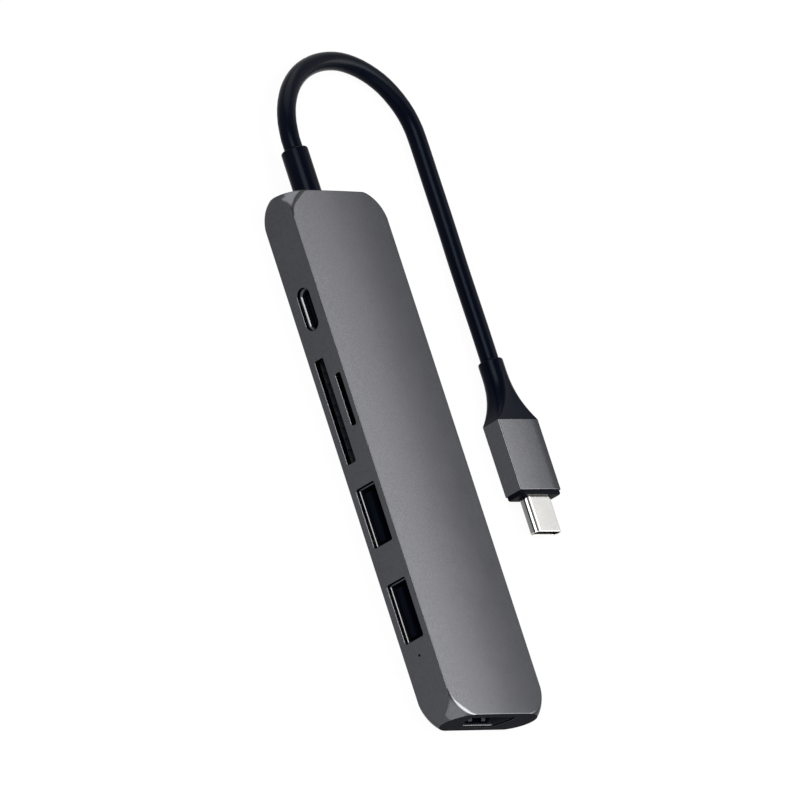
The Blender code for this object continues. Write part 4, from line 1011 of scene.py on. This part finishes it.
# Floor, world, lamps
white = (1.0, 1.0, 1.0)
floorLook = {"size": 12.0, "drop": 0.06 * mm, "glow": 0.95, "shade": 0.03, "plain": 0.8}
skyLook = {
    "seen": 1.0, "fill": 0.6, "darkWay": (-0.27, -0.30, 0.91), "darkLevel": 0.4, "darkFrom": 0.80,
    "darkTo": 0.94}
lamps = {
    "keySoftbox": {"place": (-0.011, 0.923, 1.194), "faces": (0.10, 0.62, 0.78), "size": (1.22, 0.62),
                   "radiance": 3.4, "tint": (1.0, 0.985, 0.962)},
    "topSoftbox": {"place": (0.270, 0.746, 1.273), "faces": (0.17, 0.47, 0.865), "size": (0.62, 0.9),
                   "radiance": 9.0, "tint": (1.0, 0.985, 0.93)},
    "lowSoftbox": {"place": (0.375, 1.125, 0.825), "faces": (0.25, 0.75, 0.55), "size": (0.80, 0.40),
                   "radiance": 8.0, "tint": (1.0, 0.985, 0.93)},
    "cableSideCard": {"place": (-1.42, 0.16, 0.50), "faces": (-0.93, 0.10, 0.33), "size": (1.0, 1.0),
                      "radiance": 2.7, "tint": white},
    "portSideCard": {"place": (1.23, -0.42, 0.75), "faces": (0.82, -0.28, 0.50), "size": (1.3, 1.7),
                     "radiance": 1.35, "tint": white},
    "frontStrip": {"place": (-0.424, -1.10, 1.036), "faces": (-0.27, -0.70, 0.66), "size": (0.8, 0.8),
                   "radiance": 12.0, "tint": white}}


def grey(level):
    return (level, level, level, 1.0)


def seenMask(wire):  # rays that show the background
    path = wire.node("ShaderNodeLightPath").socket.node
    rays = ("Is Camera Ray", "Is Glossy Ray", "Is Transmission Ray")
    camera, glossy, transmission = [Wire(wire.tree, path.outputs[name]) for name in rays]
    return wire.node("ShaderNodeClamp", {}, {"Value": camera + glossy + transmission})


def endAt(wire, kind, unseen, seen):
    output = wire.tree.nodes.new(kind)
    both = wire.node("ShaderNodeMixShader", {}, {0: seenMask(wire), 1: unseen, 2: seen})
    wire.feed(output.inputs["Surface"], both)


def makeFloor():
    half = floorLook["size"] / 2
    bm = bmesh.new()
    bm.faces.new([bm.verts.new((x * half, y * half, -floorLook["drop"])) for x, y in quarterSides])
    material = bpy.data.materials.new("paperFloor")
    material.use_nodes = True
    material.node_tree.nodes.clear()
    wire = Wire(material.node_tree)
    glow = wire.node("ShaderNodeEmission", {}, {"Color": grey(1.0), "Strength": floorLook["glow"]})
    shade = wire.node("ShaderNodeBsdfDiffuse", {}, {"Color": grey(floorLook["shade"])})
    seen = wire.node("ShaderNodeAddShader", {}, {0: glow, 1: shade})
    plain = wire.node("ShaderNodeBsdfDiffuse", {}, {"Color": grey(floorLook["plain"])})
    endAt(wire, "ShaderNodeOutputMaterial", plain, seen)
    floor = bpy.data.objects.new("paper_floor", meshFrom(bm, "paper_floor", (material,)))
    scene.collection.objects.link(floor)


def makeWorld():
    world = bpy.data.worlds.new("studio")
    scene.world = world
    world.use_nodes = True
    world.node_tree.nodes.clear()
    wire = Wire(world.node_tree)
    way = wire.node("ShaderNodeTexCoord", out="Generated")
    darkWay = Vector(skyLook["darkWay"]).normalized()
    toDark = wire.node("ShaderNodeVectorMath", {"operation": "DOT_PRODUCT"}, {0: way, 1: darkWay}, "Value")
    fade = {
        "Value": toDark, "From Min": skyLook["darkFrom"], "From Max": skyLook["darkTo"],
        "To Min": skyLook["seen"], "To Max": skyLook["darkLevel"]}
    level = wire.node("ShaderNodeMapRange", {"interpolation_type": "SMOOTHSTEP"}, fade)
    seen = wire.node("ShaderNodeBackground", {}, {"Color": grey(1.0), "Strength": level})
    fill = wire.node("ShaderNodeBackground", {}, {"Color": grey(1.0), "Strength": skyLook["fill"]})
    endAt(wire, "ShaderNodeOutputWorld", fill, seen)


def makeLamps():
    for name, look in lamps.items():
        data = bpy.data.lights.new(name, "AREA")
        data.shape = "RECTANGLE"
        data.size, data.size_y = look["size"]
        data.energy = look["radiance"] * math.pi * data.size * data.size_y
        data.color = look["tint"]
        lamp = bpy.data.objects.new(name, data)
        scene.collection.objects.link(lamp)
        lamp.location = look["place"]
        lamp.rotation_euler = Vector(look["faces"]).to_track_quat("Z", "Y").to_euler()
        lamp.visible_camera = False


makeFloor()
makeWorld()
makeLamps()
print("stage lit")
